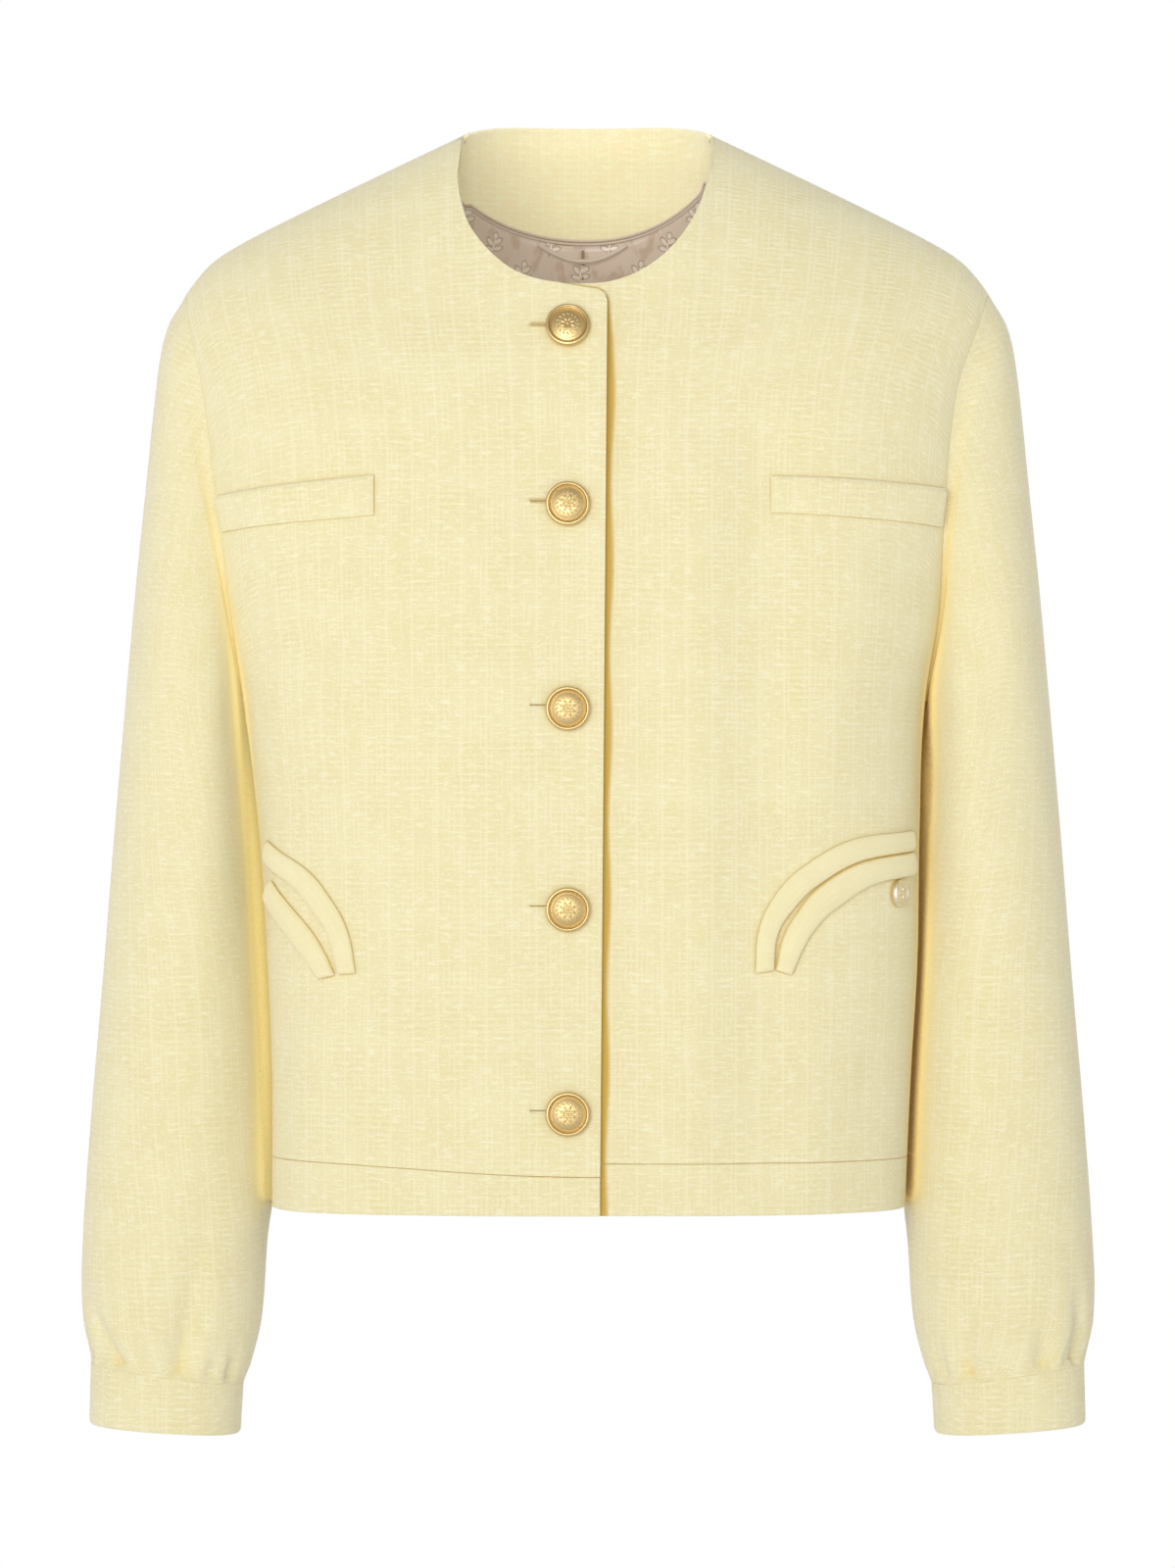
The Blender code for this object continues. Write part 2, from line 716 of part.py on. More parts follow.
def keep_clear(side, point):
    """Moves a point sideways until it is clear of the torso round the armhole."""
    back = point.y > 0
    rise = (2 * point.z - UNDERARM - SHOULDER_POINT) / (SHOULDER_POINT - UNDERARM)
    reach = point.y / (ARMHOLE_BACK if back else ARMHOLE_FRONT)
    outside = abs(rise) ** ARMHOLE_POWER + abs(reach) ** ARMHOLE_POWER - 1.0
    if point.z > CHEST or outside < 0:
        return point
    depth = read_curve(BODY_LEVELS, "back" if back else "front", point.z)
    inside = max(1.0 - (abs(point.y) / depth) ** SECTION_POWER, 0.0) ** (1.0 / SECTION_POWER)
    clearance = mix(SEAM_GAP, BODY_CLEARANCE, ease(outside / CLEARANCE_SHARE)) + SEAM_GAP
    limit = half_width(side, point.z) * inside + clearance
    if abs(point.x) < limit:
        point.x = side * limit
    return point


def cuff_fold(side, turn, above_cuff):
    """How far the gathers draw the sleeve in at a place above its cuff."""
    degrees = math.degrees(turn) % 360
    depth = 0.0
    for fold in CUFF_FOLDS[side]:
        rise = above_cuff / fold.reach
        if rise < 2.0:
            away = (degrees - fold.turn - fold.lean * rise + 180) % 360 - 180
            fade = math.exp(-rise * rise) * ease(above_cuff / FOLD_START)
            depth += fold.depth * fade * math.exp(-((away / fold.width) ** 2))
    return depth


def armhole_loop(side):
    """Points, normals and off-panel directions round the whole armhole."""
    front = armhole_places(side, False, ROWS_ON_ARMHOLE)
    back = armhole_places(side, True, ROWS_ON_ARMHOLE)
    stops = [(False, place) for place in front] + [(True, place) for place in back[-2:0:-1]]
    points = [skin_point(side, on_back, *place, 0.0) for on_back, place in stops]
    normals = [torso_normal(on_back, *place) for on_back, place in stops]
    middle = sum(points, Vector()) / len(points)
    loop = []
    for i, (point, normal) in enumerate(zip(points, normals)):
        along = points[(i + 1) % len(points)] - points[i - 1]
        off = along.cross(normal).normalized()
        if off.dot(middle + Vector((side * ARMHOLE_OUTSIDE, 0.0, 0.0)) - point) < 0:
            off.negate()
        loop.append((point, normal, off))
    return loop


def leave_armhole(side, turn, point, normal, off):
    """The sleeve's second ring: straight on over the shoulder, outwards below."""
    top = (1.0 - math.cos(turn)) / 2
    sideways = Vector((side * mix(UNDERARM_SIDEWAYS, 0.0, top), 0.0, 0.0))
    onwards = off * mix(UNDERARM_ONWARDS, 1.0, top) + sideways
    return point + off * SEAM_GAP + onwards.normalized() * FIRST_RING


def sleeve_rings(side):
    """Outer points of a sleeve, ring by ring from the armhole to the cuff."""
    loop = armhole_loop(side)
    count = len(loop)
    turns = [2 * math.pi * i / count for i in range(count)]
    first = [oval_point(ring_frame(side, 0.0), turn) for turn in turns]
    rings = [[point + off * SEAM_GAP for point, _, off in loop]]
    rings.append([leave_armhole(side, turn, *stop) for turn, stop in zip(turns, loop)])
    length = SLEEVE_TOP - SLEEVE_END_OUTER
    for k in range(1, SLEEVE_RINGS):
        share = (k / (SLEEVE_RINGS - 1)) ** RING_SPREAD
        frame = ring_frame(side, share)
        middle = (frame[0] + frame[1]) / 2
        blend = 1.0 - ease(share / CAP_BLEND)
        above_cuff = (1.0 - share) * length
        ring = []
        for turn, start, (point, _, off) in zip(turns, first, loop):
            place = oval_point(frame, turn) + (point + off * SEAM_GAP - start) * blend
            outwards = (place - middle).normalized()
            place -= outwards * cuff_fold(side, turn, above_cuff)
            ring.append(keep_clear(side, place))
        rings.append(ring)
    return rings, [normal for _, normal, _ in loop]


def ring_normals(rings, first_normals=None):
    """Outward directions of a tube of rings."""
    count = len(rings[0])
    normals = []
    for k, ring in enumerate(rings):
        row = []
        for i in range(count):
            around = ring[(i + 1) % count] - ring[i - 1]
            along = rings[min(k + 1, len(rings) - 1)][i] - rings[max(k - 1, 0)][i]
            row.append(around.cross(along).normalized())
        normals.append(row)
    middle = sum(rings[-1], Vector()) / count
    if normals[-1][0].dot(rings[-1][0] - middle) < 0:
        normals = [[-normal for normal in row] for row in normals]
    if first_normals:
        normals[0] = first_normals
    return normals


def make_sleeves():
    for side, name in ((-1, "right"), (1, "left")):
        rings, first_normals = sleeve_rings(side)
        normals = ring_normals(rings, first_normals)
        inner = [
            [point - normal * TWEED for point, normal in zip(ring, row)]
            for ring, row in zip(rings, normals)
        ]
        wall_object("sleeve_" + name, rings, inner, "tweed", closed=True)
        make_cuff(side, "cuff_" + name, len(rings[0]))


def make_cuff(side, name, count):
    """The straight band at the end of a sleeve."""
    rings = []
    for j in range(CUFF_ROWS + 1):
        down = j / CUFF_ROWS
        outer, inner, front, back = ring_frame(side, 1.0)
        outer.z = mix(CUFF_TOP_OUTER, CUFF_END_OUTER, down)
        inner.z = mix(CUFF_TOP_INNER, CUFF_END_INNER, down)
        outer.x += side * CUFF_FLARE_OUTER * down
        inner.x += side * CUFF_FLARE_INNER * down
        frame = (outer, inner, front, back)
        rings.append([oval_point(frame, 2 * math.pi * i / count) for i in range(count)])
    normals = ring_normals(rings)
    inner = [
        [point - normal * CUFF_CLOTH for point, normal in zip(ring, row)]
        for ring, row in zip(rings, normals)
    ]
    wall_object(name, rings, inner, "tweed", closed=True)


# ================================================================== inside neck
def facing_edge_height(x):
    """Height of the facing's lower edge."""
    return -FACING_DEPTH + FACING_LIFT * (abs(x) / FACING_END) ** FACING_POWER


def between_points(grid, column, row):
    """A point of a grid of points at a column and row that may be fractions."""
    i = min(int(column), len(grid[0]) - 2)
    j = min(int(row), len(grid) - 2)
    low = grid[j][i].lerp(grid[j][i + 1], column - i)
    high = grid[j + 1][i].lerp(grid[j + 1][i + 1], column - i)
    return low.lerp(high, row - j)


def row_at_height(grid, column, height):
    """The fraction of a row at which a column of a grid reaches a height."""
    last = len(grid) - 1
    for row in range(last, 0, -1):
        low = between_points(grid, column, row - 1).z
        high = between_points(grid, column, row).z
        if low <= height:
            return min(row - 1 + (height - low) / (high - low), last)
    return 0.0


def inside_back(column, height, depth):
    """A point this far in from the back's outer face, between the back's points."""
    row = row_at_height(BACK_SKIN, column, height)
    point = between_points(BACK_SKIN, column, row)
    normal = between_points(BACK_NORMALS, column, row).normalized()
    return point - normal * depth


def inner_layer(name, columns, low, high, depth, thickness, row_count, finish):
    """A layer inside the back, from its points moved in, between two heights."""
    outer = []
    inner = []
    for j in range(row_count + 1):
        heights = [mix(low(c), high(c), j / row_count) for c in columns]
        outer.append([inside_back(c, h, depth) for c, h in zip(columns, heights)])
        inner.append([inside_back(c, h, depth + thickness) for c, h in zip(columns, heights)])
    wall_object(name, outer, inner, finish)


def top_height(column):
    """Height of the back's upper edge on a column."""
    return between_points(BACK_SKIN, column, len(BACK_SKIN) - 1).z


def facing_edge_on(column):
    """Height at which a column of the back crosses the facing's lower edge."""
    height = -FACING_DEPTH
    for _ in range(4):
        row = row_at_height(BACK_SKIN, column, height)
        height = facing_edge_height(between_points(BACK_SKIN, column, row).x)
    return height


def make_facing():
    """Tweed facing inside the back neck, and the satin piping along its edge."""
    first = COLUMNS_ON_SHOULDER - FACING_SHOULDER_COLUMNS
    last = len(BACK_SKIN[0]) - 1 - first
    columns = list(range(first, last + 1))
    depth = TWEED + FACING_GAP

    def high(column):
        return top_height(column) - SEAM_GAP

    inner_layer(
        "back_neck_facing", columns, facing_edge_on, high, depth, FACING_CLOTH, FACING_ROWS, "tweed"
    )
    piping_depth = depth + PIPING_RADIUS
    drop = PIPING_RADIUS + LAYER_GAP
    points = [inside_back(c, facing_edge_on(c) - drop, piping_depth) for c in columns]
    tube_object("lining_piping", points, PIPING_RADIUS, "lining")


def make_hanger_loop():
    """Loop of cord that hangs from the piping at the middle of the back."""
    middle = (len(BACK_SKIN[0]) - 1) / 2
    points = []
    for i in range(LOOP_STEPS + 1):
        share = i / LOOP_STEPS
        column = mix(middle - LOOP_COLUMNS, middle + LOOP_COLUMNS, share)
        arch = math.sin(math.pi * share)
        drop = 2 * PIPING_RADIUS + LOOP_RADIUS + 2 * LAYER_GAP + LOOP_DROP * arch
        depth = TWEED + LINING_GAP + LINING_CLOTH + LAYER_GAP + LOOP_RADIUS + LOOP_STAND * arch
        points.append(inside_back(column, facing_edge_on(column) - drop, depth))
    tube_object("hanger_loop", points, LOOP_RADIUS, "lining")


def tube_object(name, points, radius, finish):
    """A round cord through points, as a closed mesh."""
    curve = bpy.data.curves.new(name, "CURVE")
    curve.dimensions = "3D"
    curve.bevel_depth = radius
    curve.bevel_resolution = 1
    curve.use_fill_caps = True
    spline = curve.splines.new("POLY")
    spline.points.add(len(points) - 1)
    for spot, point in zip(spline.points, points):
        spot.co = (*point, 1.0)
    item = bpy.data.objects.new(name, curve)
    JACKET.objects.link(item)
    item.data.materials.append(material(finish))
    weld = item.modifiers.new("weld caps", "WELD")
    weld.merge_threshold = 0.00002


def make_lining():
    """Satin lining of the back, from the piping and shoulders down to the hem."""
    last = len(BACK_SKIN[0]) - 1
    columns = [LINING_INSET] + list(range(1, last)) + [last - LINING_INSET]
    drop = 2 * (PIPING_RADIUS + LAYER_GAP)

    def low(column):
        return LINING_END

    def high(column):
        return min(facing_edge_on(column) - drop, top_height(column) - LINING_SHOULDER_DROP)

    depth = TWEED + LINING_GAP
    inner_layer("lining_back", columns, low, high, depth, LINING_CLOTH, LINING_ROWS, "lining")


# ================================================================== pockets
def welt_object(name, side, rows):
    """A raised strip over a front: rows of (angle, height, outer lift)."""
    outer = []
    inner = []
    for row in rows:
        outer.append([skin_point(side, False, a, z, -lift) for a, z, lift in row])
        inner.append([skin_point(side, False, a, z, -WELT_LIFT) for a, z, _ in row])
    wall_object(name, outer, inner, "tweed")


def make_chest_welts():
    """One flat welt on each chest, stopped just short of the armhole."""
    for side, name in ((-1, "chest_welt_right"), (1, "chest_welt_left")):
        welt = CHEST_WELTS[side]
        rows = []
        for across, rise in CHEST_WELT_ROUNDING:
            row = []
            for i in range(CHEST_WELT_COLUMNS + 1):
                share = i / CHEST_WELT_COLUMNS
                low = mix(welt.low_inner, welt.low_outer, share)
                top = mix(welt.top_inner, welt.top_outer, share)
                z = mix(low, top, across)
                start = abs(angle_at(side * welt.inner, z))
                stop = armhole_angle_at(side, z) - CHEST_WELT_END
                row.append((side * mix(start, stop, share), z, WELT_LIFT + CHEST_WELT_HEIGHT * rise))
            rows.append(row)
        welt_object(name, side, rows)


def armhole_angle_at(side, z):
    """The front armhole's angle at a height."""
    places = armhole_places(side, False, 60)
    nearest = min(places, key=lambda place: abs(place[1] - z))
    return abs(nearest[0])


def hip_welt_place(stations, along, across):
    """Girth and height on a curved welt: across it from its high edge (0) to its low edge (1)."""
    girth, z = (
        mix(read_curve(stations, "high_" + axis, along), read_curve(stations, "low_" + axis, along), across)
        for axis in ("girth", "z")
    )
    return girth, z


def make_hip_pockets():
    """Two half-round welts along each curved pocket."""
    side_names = {-1: "right", 1: "left"}
    for (kind, side), stations in HIP_WELTS.items():
        rows = []
        for j in range(HIP_WELT_SIDES + 1):
            over = math.cos(math.pi * j / HIP_WELT_SIDES)
            rise = math.sqrt(max(1.0 - over * over, 0.0)) ** HIP_WELT_POWER
            lift = WELT_LIFT + HIP_WELT_EDGE + HIP_WELT_HEIGHT * rise
            row = []
            for i in range(HIP_WELT_STEPS + 1):
                girth, z = hip_welt_place(stations, i / HIP_WELT_STEPS, (1.0 - over) / 2)
                row.append((angle_at_girth(side, girth, z), z, lift))
            rows.append(row)
        welt_object("pocket_welt_%s_%s" % (kind, side_names[side]), side, rows)


# ================================================================== buttons
def seat_on_front(side, x, z):
    """A frame on a front: its Z out of the cloth and its X level across it."""
    angle = angle_at(x, z)
    point = skin_point(side, False, angle, z, 0.0)
    normal = torso_normal(False, angle, z)
    across = Vector((0.0, 0.0, 1.0)).cross(normal).normalized()
    up = normal.cross(across)
    turn = Matrix((across, up, normal)).transposed().to_4x4()
    return Matrix.Translation(point) @ turn


def turned_object(name, profile, seat, steps, finish):
    """A solid of revolution about its own Z axis, placed by a frame."""
    data = bpy.data.meshes.new(name)
    edges = [(i, i + 1) for i in range(len(profile) - 1)]
    data.from_pydata([(radius, 0.0, height) for radius, height in profile], edges, [])
    item = bpy.data.objects.new(name, data)
    item.matrix_world = seat
    data.materials.append(material(finish))
    JACKET.objects.link(item)
    screw = item.modifiers.new("turn", "SCREW")
    screw.steps = steps
    screw.render_steps = steps
    screw.use_merge_vertices = True
    screw.merge_threshold = 0.00001
    return item


def make_buttons(front):
    """Shank buttons, and the keyhole buttonholes that they pass through."""
    for number, height in enumerate(BUTTON_HEIGHTS, 1):
        seat = seat_on_front(-1, BUTTON_LINE, height)
        profile = [(BUTTON_RADIUS * r, BUTTON_STAND + BUTTON_RADIUS * h) for r, h in BUTTON_PROFILE]
        foot = -(LAP_STEP - LAYER_GAP)
        profile += [(SHANK_RADIUS, BUTTON_STAND), (SHANK_RADIUS, foot), (0.0, foot)]
        turned_object("button_%d" % number, profile, seat, BUTTON_STEPS, "gold")
        cut_buttonhole(front, "buttonhole_%d" % number, seat)


def cut_buttonhole(front, name, seat):
    """A slot with a round eye, cut through the front."""
    start = math.asin(HOLE_WIDTH / 2 / HOLE_EYE)
    outline = []
    for i in range(HOLE_EYE_SIDES + 1):
        turn = math.pi - start - (2 * math.pi - 2 * start) * i / HOLE_EYE_SIDES
        outline.append((HOLE_EYE * math.cos(turn), HOLE_EYE * math.sin(turn)))
    outline.append((-HOLE_LENGTH, -HOLE_WIDTH / 2))
    outline.append((-HOLE_LENGTH, HOLE_WIDTH / 2))
    mesh = bmesh.new()
    face = mesh.faces.new([mesh.verts.new((x, y, -CUTTER_REACH)) for x, y in outline])
    grown = bmesh.ops.extrude_face_region(mesh, geom=[face])["geom"]
    risen = [item for item in grown if isinstance(item, bmesh.types.BMVert)]
    bmesh.ops.translate(mesh, vec=(0.0, 0.0, 2 * CUTTER_REACH), verts=risen)
    bmesh.ops.recalc_face_normals(mesh, faces=mesh.faces)
    data = bpy.data.meshes.new(name)
    mesh.to_mesh(data)
    mesh.free()
    cutter = bpy.data.objects.new(name, data)
    cutter.matrix_world = seat
    cutter.hide_render = True
    cutter.display_type = "WIRE"
    CUTTERS.objects.link(cutter)
    cut = front.modifiers.new(name, "BOOLEAN")
    cut.object = cutter
    cut.operation = "DIFFERENCE"
    cut.solver = "EXACT"


def make_stud():
    """Small round stud below the left hip pocket's outer end."""
    angle = angle_at_girth(1, STUD_GIRTH, STUD_HEIGHT)
    seat = seat_on_front(1, torso_point(False, angle, STUD_HEIGHT).x, STUD_HEIGHT)
    profile = [(STUD_RADIUS * r, WELT_LIFT + STUD_RADIUS * h) for r, h in STUD_PROFILE]
    profile.append((0.0, WELT_LIFT))
    turned_object("pocket_stud", profile, seat, BUTTON_STEPS, "gold")


# ================================================================== build
def clear_scene():
    for item in list(bpy.data.objects):
        bpy.data.objects.remove(item, do_unlink=True)


def new_collection(name):
    made = bpy.data.collections.new(name)
    bpy.context.scene.collection.children.link(made)
    return made


clear_scene()
JACKET = new_collection("cropped tweed jacket")
CUTTERS = new_collection("cutters")
FRONTS = make_fronts()
BACK_SKIN, BACK_NORMALS = make_back()
make_sleeves()
make_facing()
make_lining()
make_hanger_loop()
make_chest_welts()
make_hip_pockets()
make_buttons(FRONTS[-1])
make_stud()
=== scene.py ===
# %% [markdown]
# # A collarless cropped tweed jacket
# This lesson dresses the plain solids of a cropped jacket: thin tweed walls with
# soft folds, a satin lined neck, padded pocket welts, worked buttonholes and gold
# shank buttons. Everything is in metres with +Z up. The front faces -Y and the
# wearer's left is +X. The origin lies in the middle of the neck, level with the
# neck ends of the shoulder seams.

# %% Frame and imports
import math
from collections import namedtuple

import bmesh
import bpy
import numpy as np
from mathutils import Matrix, Vector


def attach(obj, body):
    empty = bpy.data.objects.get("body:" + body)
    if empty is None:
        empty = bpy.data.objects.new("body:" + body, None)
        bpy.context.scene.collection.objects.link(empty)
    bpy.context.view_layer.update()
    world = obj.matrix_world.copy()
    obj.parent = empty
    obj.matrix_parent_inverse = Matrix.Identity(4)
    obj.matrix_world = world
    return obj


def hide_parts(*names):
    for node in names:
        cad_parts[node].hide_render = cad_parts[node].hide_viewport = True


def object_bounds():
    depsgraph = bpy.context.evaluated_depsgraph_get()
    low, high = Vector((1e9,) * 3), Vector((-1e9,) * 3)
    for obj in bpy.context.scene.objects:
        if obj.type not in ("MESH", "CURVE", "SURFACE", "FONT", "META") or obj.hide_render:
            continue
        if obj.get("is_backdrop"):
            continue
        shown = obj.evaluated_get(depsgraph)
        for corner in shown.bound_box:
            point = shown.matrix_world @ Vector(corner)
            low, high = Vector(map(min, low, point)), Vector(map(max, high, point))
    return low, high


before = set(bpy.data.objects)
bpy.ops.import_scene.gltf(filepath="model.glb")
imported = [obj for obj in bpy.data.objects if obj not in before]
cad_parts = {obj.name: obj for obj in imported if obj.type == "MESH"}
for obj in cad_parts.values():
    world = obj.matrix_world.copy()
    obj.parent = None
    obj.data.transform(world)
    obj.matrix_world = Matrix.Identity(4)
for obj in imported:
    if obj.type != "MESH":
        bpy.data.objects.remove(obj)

SOLID_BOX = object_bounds()
for label, corner in zip(("low", "high"), SOLID_BOX):
    print("solids:", label, [round(v, 4) for v in corner])

# %% [markdown]
# ## The jacket's block
# A tailor drafts from a few body measures at known heights. The same idea works
# here: the torso is an oval section at each height, the shoulders are a ridge
# line, and each sleeve is a row of slanted rings. The tables hold the measures
# and everything else is drawn between them on smooth curves.


# %% Cloth and torso measures
def named_rows(columns, *rows):
    """A table whose columns have names."""
    row_of = namedtuple("Row", columns)
    return tuple(row_of(*row) for row in rows)


TWEED = 0.002
CUFF_CLOTH = 0.0024
FACING_CLOTH = 0.0015
LINING_CLOTH = 0.001
SEAM_GAP = 0.0003
SEAM_FADE = 0.004
LAYER_GAP = 0.0003
FACING_GAP = 0.0016
LINING_GAP = 0.0018
WELT_LIFT = 0.0008

BODY_LEVELS = named_rows(
    "z right left front back",
    (-0.5460, 0.1605, 0.1615, 0.1130, 0.1060),
    (-0.4800, 0.1605, 0.1645, 0.1135, 0.1050),
    (-0.4200, 0.1630, 0.1680, 0.1140, 0.1050),
    (-0.3560, 0.1670, 0.1690, 0.1160, 0.1070),
    (-0.2900, 0.1755, 0.1720, 0.1180, 0.1110),
    (-0.2410, 0.1870, 0.1840, 0.1170, 0.1140),
    (-0.1900, 0.1970, 0.1900, 0.1130, 0.1150),
    (-0.1300, 0.2060, 0.1975, 0.1060, 0.1140),
    (-0.0830, 0.2200, 0.2150, 0.0990, 0.1110),
    (0.0100, 0.2300, 0.2300, 0.0940, 0.1060),
)
SECTION_POWER = 2.8
CHEST = -0.165
ARCH_POWER = 1.9

NECK_HALF_WIDTH = 0.064
SHOULDER_RIDGE = named_rows(
    "x height",
    (0.0640, -0.0010),
    (0.1070, -0.0215),
    (0.1480, -0.0415),
    (0.1770, -0.0565),
    (0.1920, -0.0665),
    (0.2040, -0.0810),
    (0.2120, -0.0960),
)
NECK_END_Z = SHOULDER_RIDGE[0].height
NECK_RISE_FRONT = 0.03
NECK_RISE_BACK = 0.049

HEM = -0.546
HEM_SEAM = -0.52
HEM_SEAM_RIGHT_DROP = 0.0065
UNDERARM = -0.29
SHOULDER_POINT = -0.082
ARMHOLE_FRONT = 0.056
ARMHOLE_BACK = 0.06
ARMHOLE_POWER = 2.3
ARMHOLE_OUTSIDE = 0.03

BUTTON_LINE = -0.0098
LAP_EDGE = 0.0098
LAP_EDGE_LOW = 0.0061
LAP_EDGE_TOP_Z = -0.0918
UNDERLAP_EDGE = -0.029
LAP_CORNER = 0.006
LAP_CORNER_SHARE = 0.08
LAP_STEP = 0.0034
LAP_FADE = 0.045
LAP_LIFT = 0.001
LAP_LIFT_HIGH = 0.0026
LAP_LOOSE = -0.135
LAP_LOOSE_REACH = 0.045
LAP_LIFT_REACH = 0.015
FRONT_NECK_DROP = 0.0815
FRONT_NECK_POWER = {-1: 2.75, 1: 2.05}
NECK_SAG_START = -0.014
NECK_SAG_SLOPE = 0.16
NECK_BULGE = {-1: 0.0026, 1: 0.0}
NECK_BULGE_LOW = -0.07
NECK_BULGE_FADE = 0.025
BACK_NECK_TOP = 0.007
BACK_NECK_POWER = 5.0
BACK_NECK_CORNER = 0.75

# %% Net sizes
# A panel is a net of rows and columns. REFINE is how many cells of this net lie
# in one cell of the plain solid's net.
REFINE = 6
ROWS_BELOW_ARM = 7 * REFINE
ROWS_ON_ARMHOLE = 13 * REFINE
COLUMNS_ON_NECK = 7 * REFINE
COLUMNS_ON_SHOULDER = 7 * REFINE
COLUMNS_ON_BACK_NECK = 10 * REFINE
HEM_BAND_ROWS = 8
EDGE_PULL = 2.0
ROW_CROWDING = 1.3
PATH_SAMPLES = 900

# %% [markdown]
# ## Working with whole rows of numbers
# A panel has thousands of points, so every function takes arrays. `read_curve`
# reads a table on a smooth curve, and `spread` puts marks at even distances
# along a path, as a tape measure does.


# %% Small tools
def mix(start, end, share):
    return start + (end - start) * share


def ease(share):
    """A share from 0 to 1, slow at both ends."""
    share = np.clip(share, 0.0, 1.0)
    return share * share * (3.0 - 2.0 * share)


def signed_power(value, exponent):
    return np.sign(value) * np.abs(value) ** exponent


def unit(vectors):
    """The vectors at a length of one."""
    lengths = np.linalg.norm(vectors, axis=-1, keepdims=True)
    return vectors / np.maximum(lengths, 1e-12)


def read_curve(table, column, at):
    """A named column at the places given, on a smooth curve through the table's rows."""
    keys = np.array([row[0] for row in table])
    values = np.array([getattr(row, column) for row in table])
    last = len(keys) - 1
    before = np.maximum(np.arange(last + 1) - 1, 0)
    after = np.minimum(np.arange(last + 1) + 1, last)
    slopes = (values[after] - values[before]) / (keys[after] - keys[before])
    at = np.clip(at, keys[0], keys[-1])
    row = np.clip(np.searchsorted(keys, at) - 1, 0, last - 1)
    step = keys[row + 1] - keys[row]
    t = (at - keys[row]) / step
    return (
        values[row] * (1 + 2 * t) * (1 - t) ** 2
        + slopes[row] * step * t * (1 - t) ** 2
        + values[row + 1] * t * t * (3 - 2 * t)
        + slopes[row + 1] * step * t * t * (t - 1)
    )


def distances_along(points):
    """How far along a line each of its points lies."""
    steps = np.linalg.norm(np.diff(points, axis=0), axis=-1)
    return np.concatenate([[0.0], np.cumsum(steps)])


def spread(path, count):
    """Count + 1 places at even distances along a path, which maps shares to places and points."""
    places, points = path(np.linspace(0.0, 1.0, PATH_SAMPLES + 1))
    travelled = distances_along(points)
    goals = travelled[-1] * np.arange(count + 1) / count
    measured = [np.interp(goals, travelled, column) for column in places.T]
    return np.stack(measured, axis=1)


# %% [markdown]
# ## The torso form
# A place on the torso is an angle round it (0 in the middle, 90 degrees at the
# side seam, minus on the wearer's right) and a height. The section is a rounded
# box, which is how a boxy jacket stands when it is filled out. Above the chest
# the depth closes in an arch to the shoulder ridge.


# %% The section and the ridge
def half_width(side, z):
    right, left = (read_curve(BODY_LEVELS, column, z) for column in ("right", "left"))
    return np.where(side < 0, right, left)


def ridge_height(x, back):
    """Height at which front and back meet over the place x."""
    x = np.abs(x)
    rise = NECK_RISE_BACK if back else NECK_RISE_FRONT
    over_neck = NECK_END_Z + rise * (1.0 - (x / NECK_HALF_WIDTH) ** 2)
    return np.where(x >= NECK_HALF_WIDTH, read_curve(SHOULDER_RIDGE, "height", x), over_neck)


def torso_point(back, angle, z):
    """Points of the torso's outer face."""
    angle, z = np.broadcast_arrays(angle, z)
    sine = np.sin(np.radians(angle))
    x = half_width(angle, z) * sine
    depth = read_curve(BODY_LEVELS, "back" if back else "front", z)
    depth = depth * np.maximum(1.0 - np.abs(sine) ** SECTION_POWER, 0.0) ** (1.0 / SECTION_POWER)
    rise = np.clip((z - CHEST) / (ridge_height(x, back) - CHEST), 0.0, 1.0)
    depth = depth * (1.0 - rise * rise) ** (1.0 / ARCH_POWER)
    return np.stack([x, depth if back else -depth, z + 0.0], axis=-1)


# %% Outward directions
UPWARD_PULL = 0.02
ON_RIDGE_ACROSS = 1e-5
ON_RIDGE_DOWN = 2e-5


def torso_normal(back, angle, z, step=0.02, drop=0.0004, reach=0.001):
    """The outward direction of the torso's outer face."""
    angle, z = np.broadcast_arrays(angle, z)
    side = np.where(angle < 0, -1.0, 1.0)
    here = torso_point(back, angle, z)
    across = here - torso_point(back, angle - side * step, z)
    up = here - torso_point(back, angle, z - drop)
    normal = np.cross(across, up)
    outwards = (here[..., :2] * normal[..., :2]).sum(axis=-1) + UPWARD_PULL * normal[..., 2]
    normal = unit(np.where(outwards[..., None] < 0, -normal, normal))
    x = np.abs(here[..., 0])
    on_ridge = x >= NECK_HALF_WIDTH - ON_RIDGE_ACROSS
    on_ridge = on_ridge & (z > ridge_height(x, back) - ON_RIDGE_DOWN)
    slope = (ridge_height(x + reach, back) - ridge_height(x, back)) / reach
    over = unit(np.stack([-slope * side, np.zeros_like(x), np.ones_like(x)], axis=-1))
    return np.where(on_ridge[..., None], over, normal)


# %% Angles, girths and the armhole
GIRTH_MARKS = 361
ARMHOLE_ANGLES = (30.0, 90.0)
HALVINGS = 40


def angle_at(x, z):
    """The angle at which the torso's face has this x."""
    return np.degrees(np.arcsin(np.clip(x / half_width(x, z), -1.0, 1.0)))


def girth_of(back, angle, z, steps=48):
    """How far round from the centre line each place lies, minus on the wearer's right."""
    angle, z = np.broadcast_arrays(angle, np.minimum(z, CHEST))
    shares = np.linspace(0.0, 1.0, steps + 1).reshape((-1,) + (1,) * angle.ndim)
    path = torso_point(back, angle * shares, z + 0.0 * shares)
    return np.sign(angle) * np.linalg.norm(np.diff(path, axis=0), axis=-1).sum(axis=0)


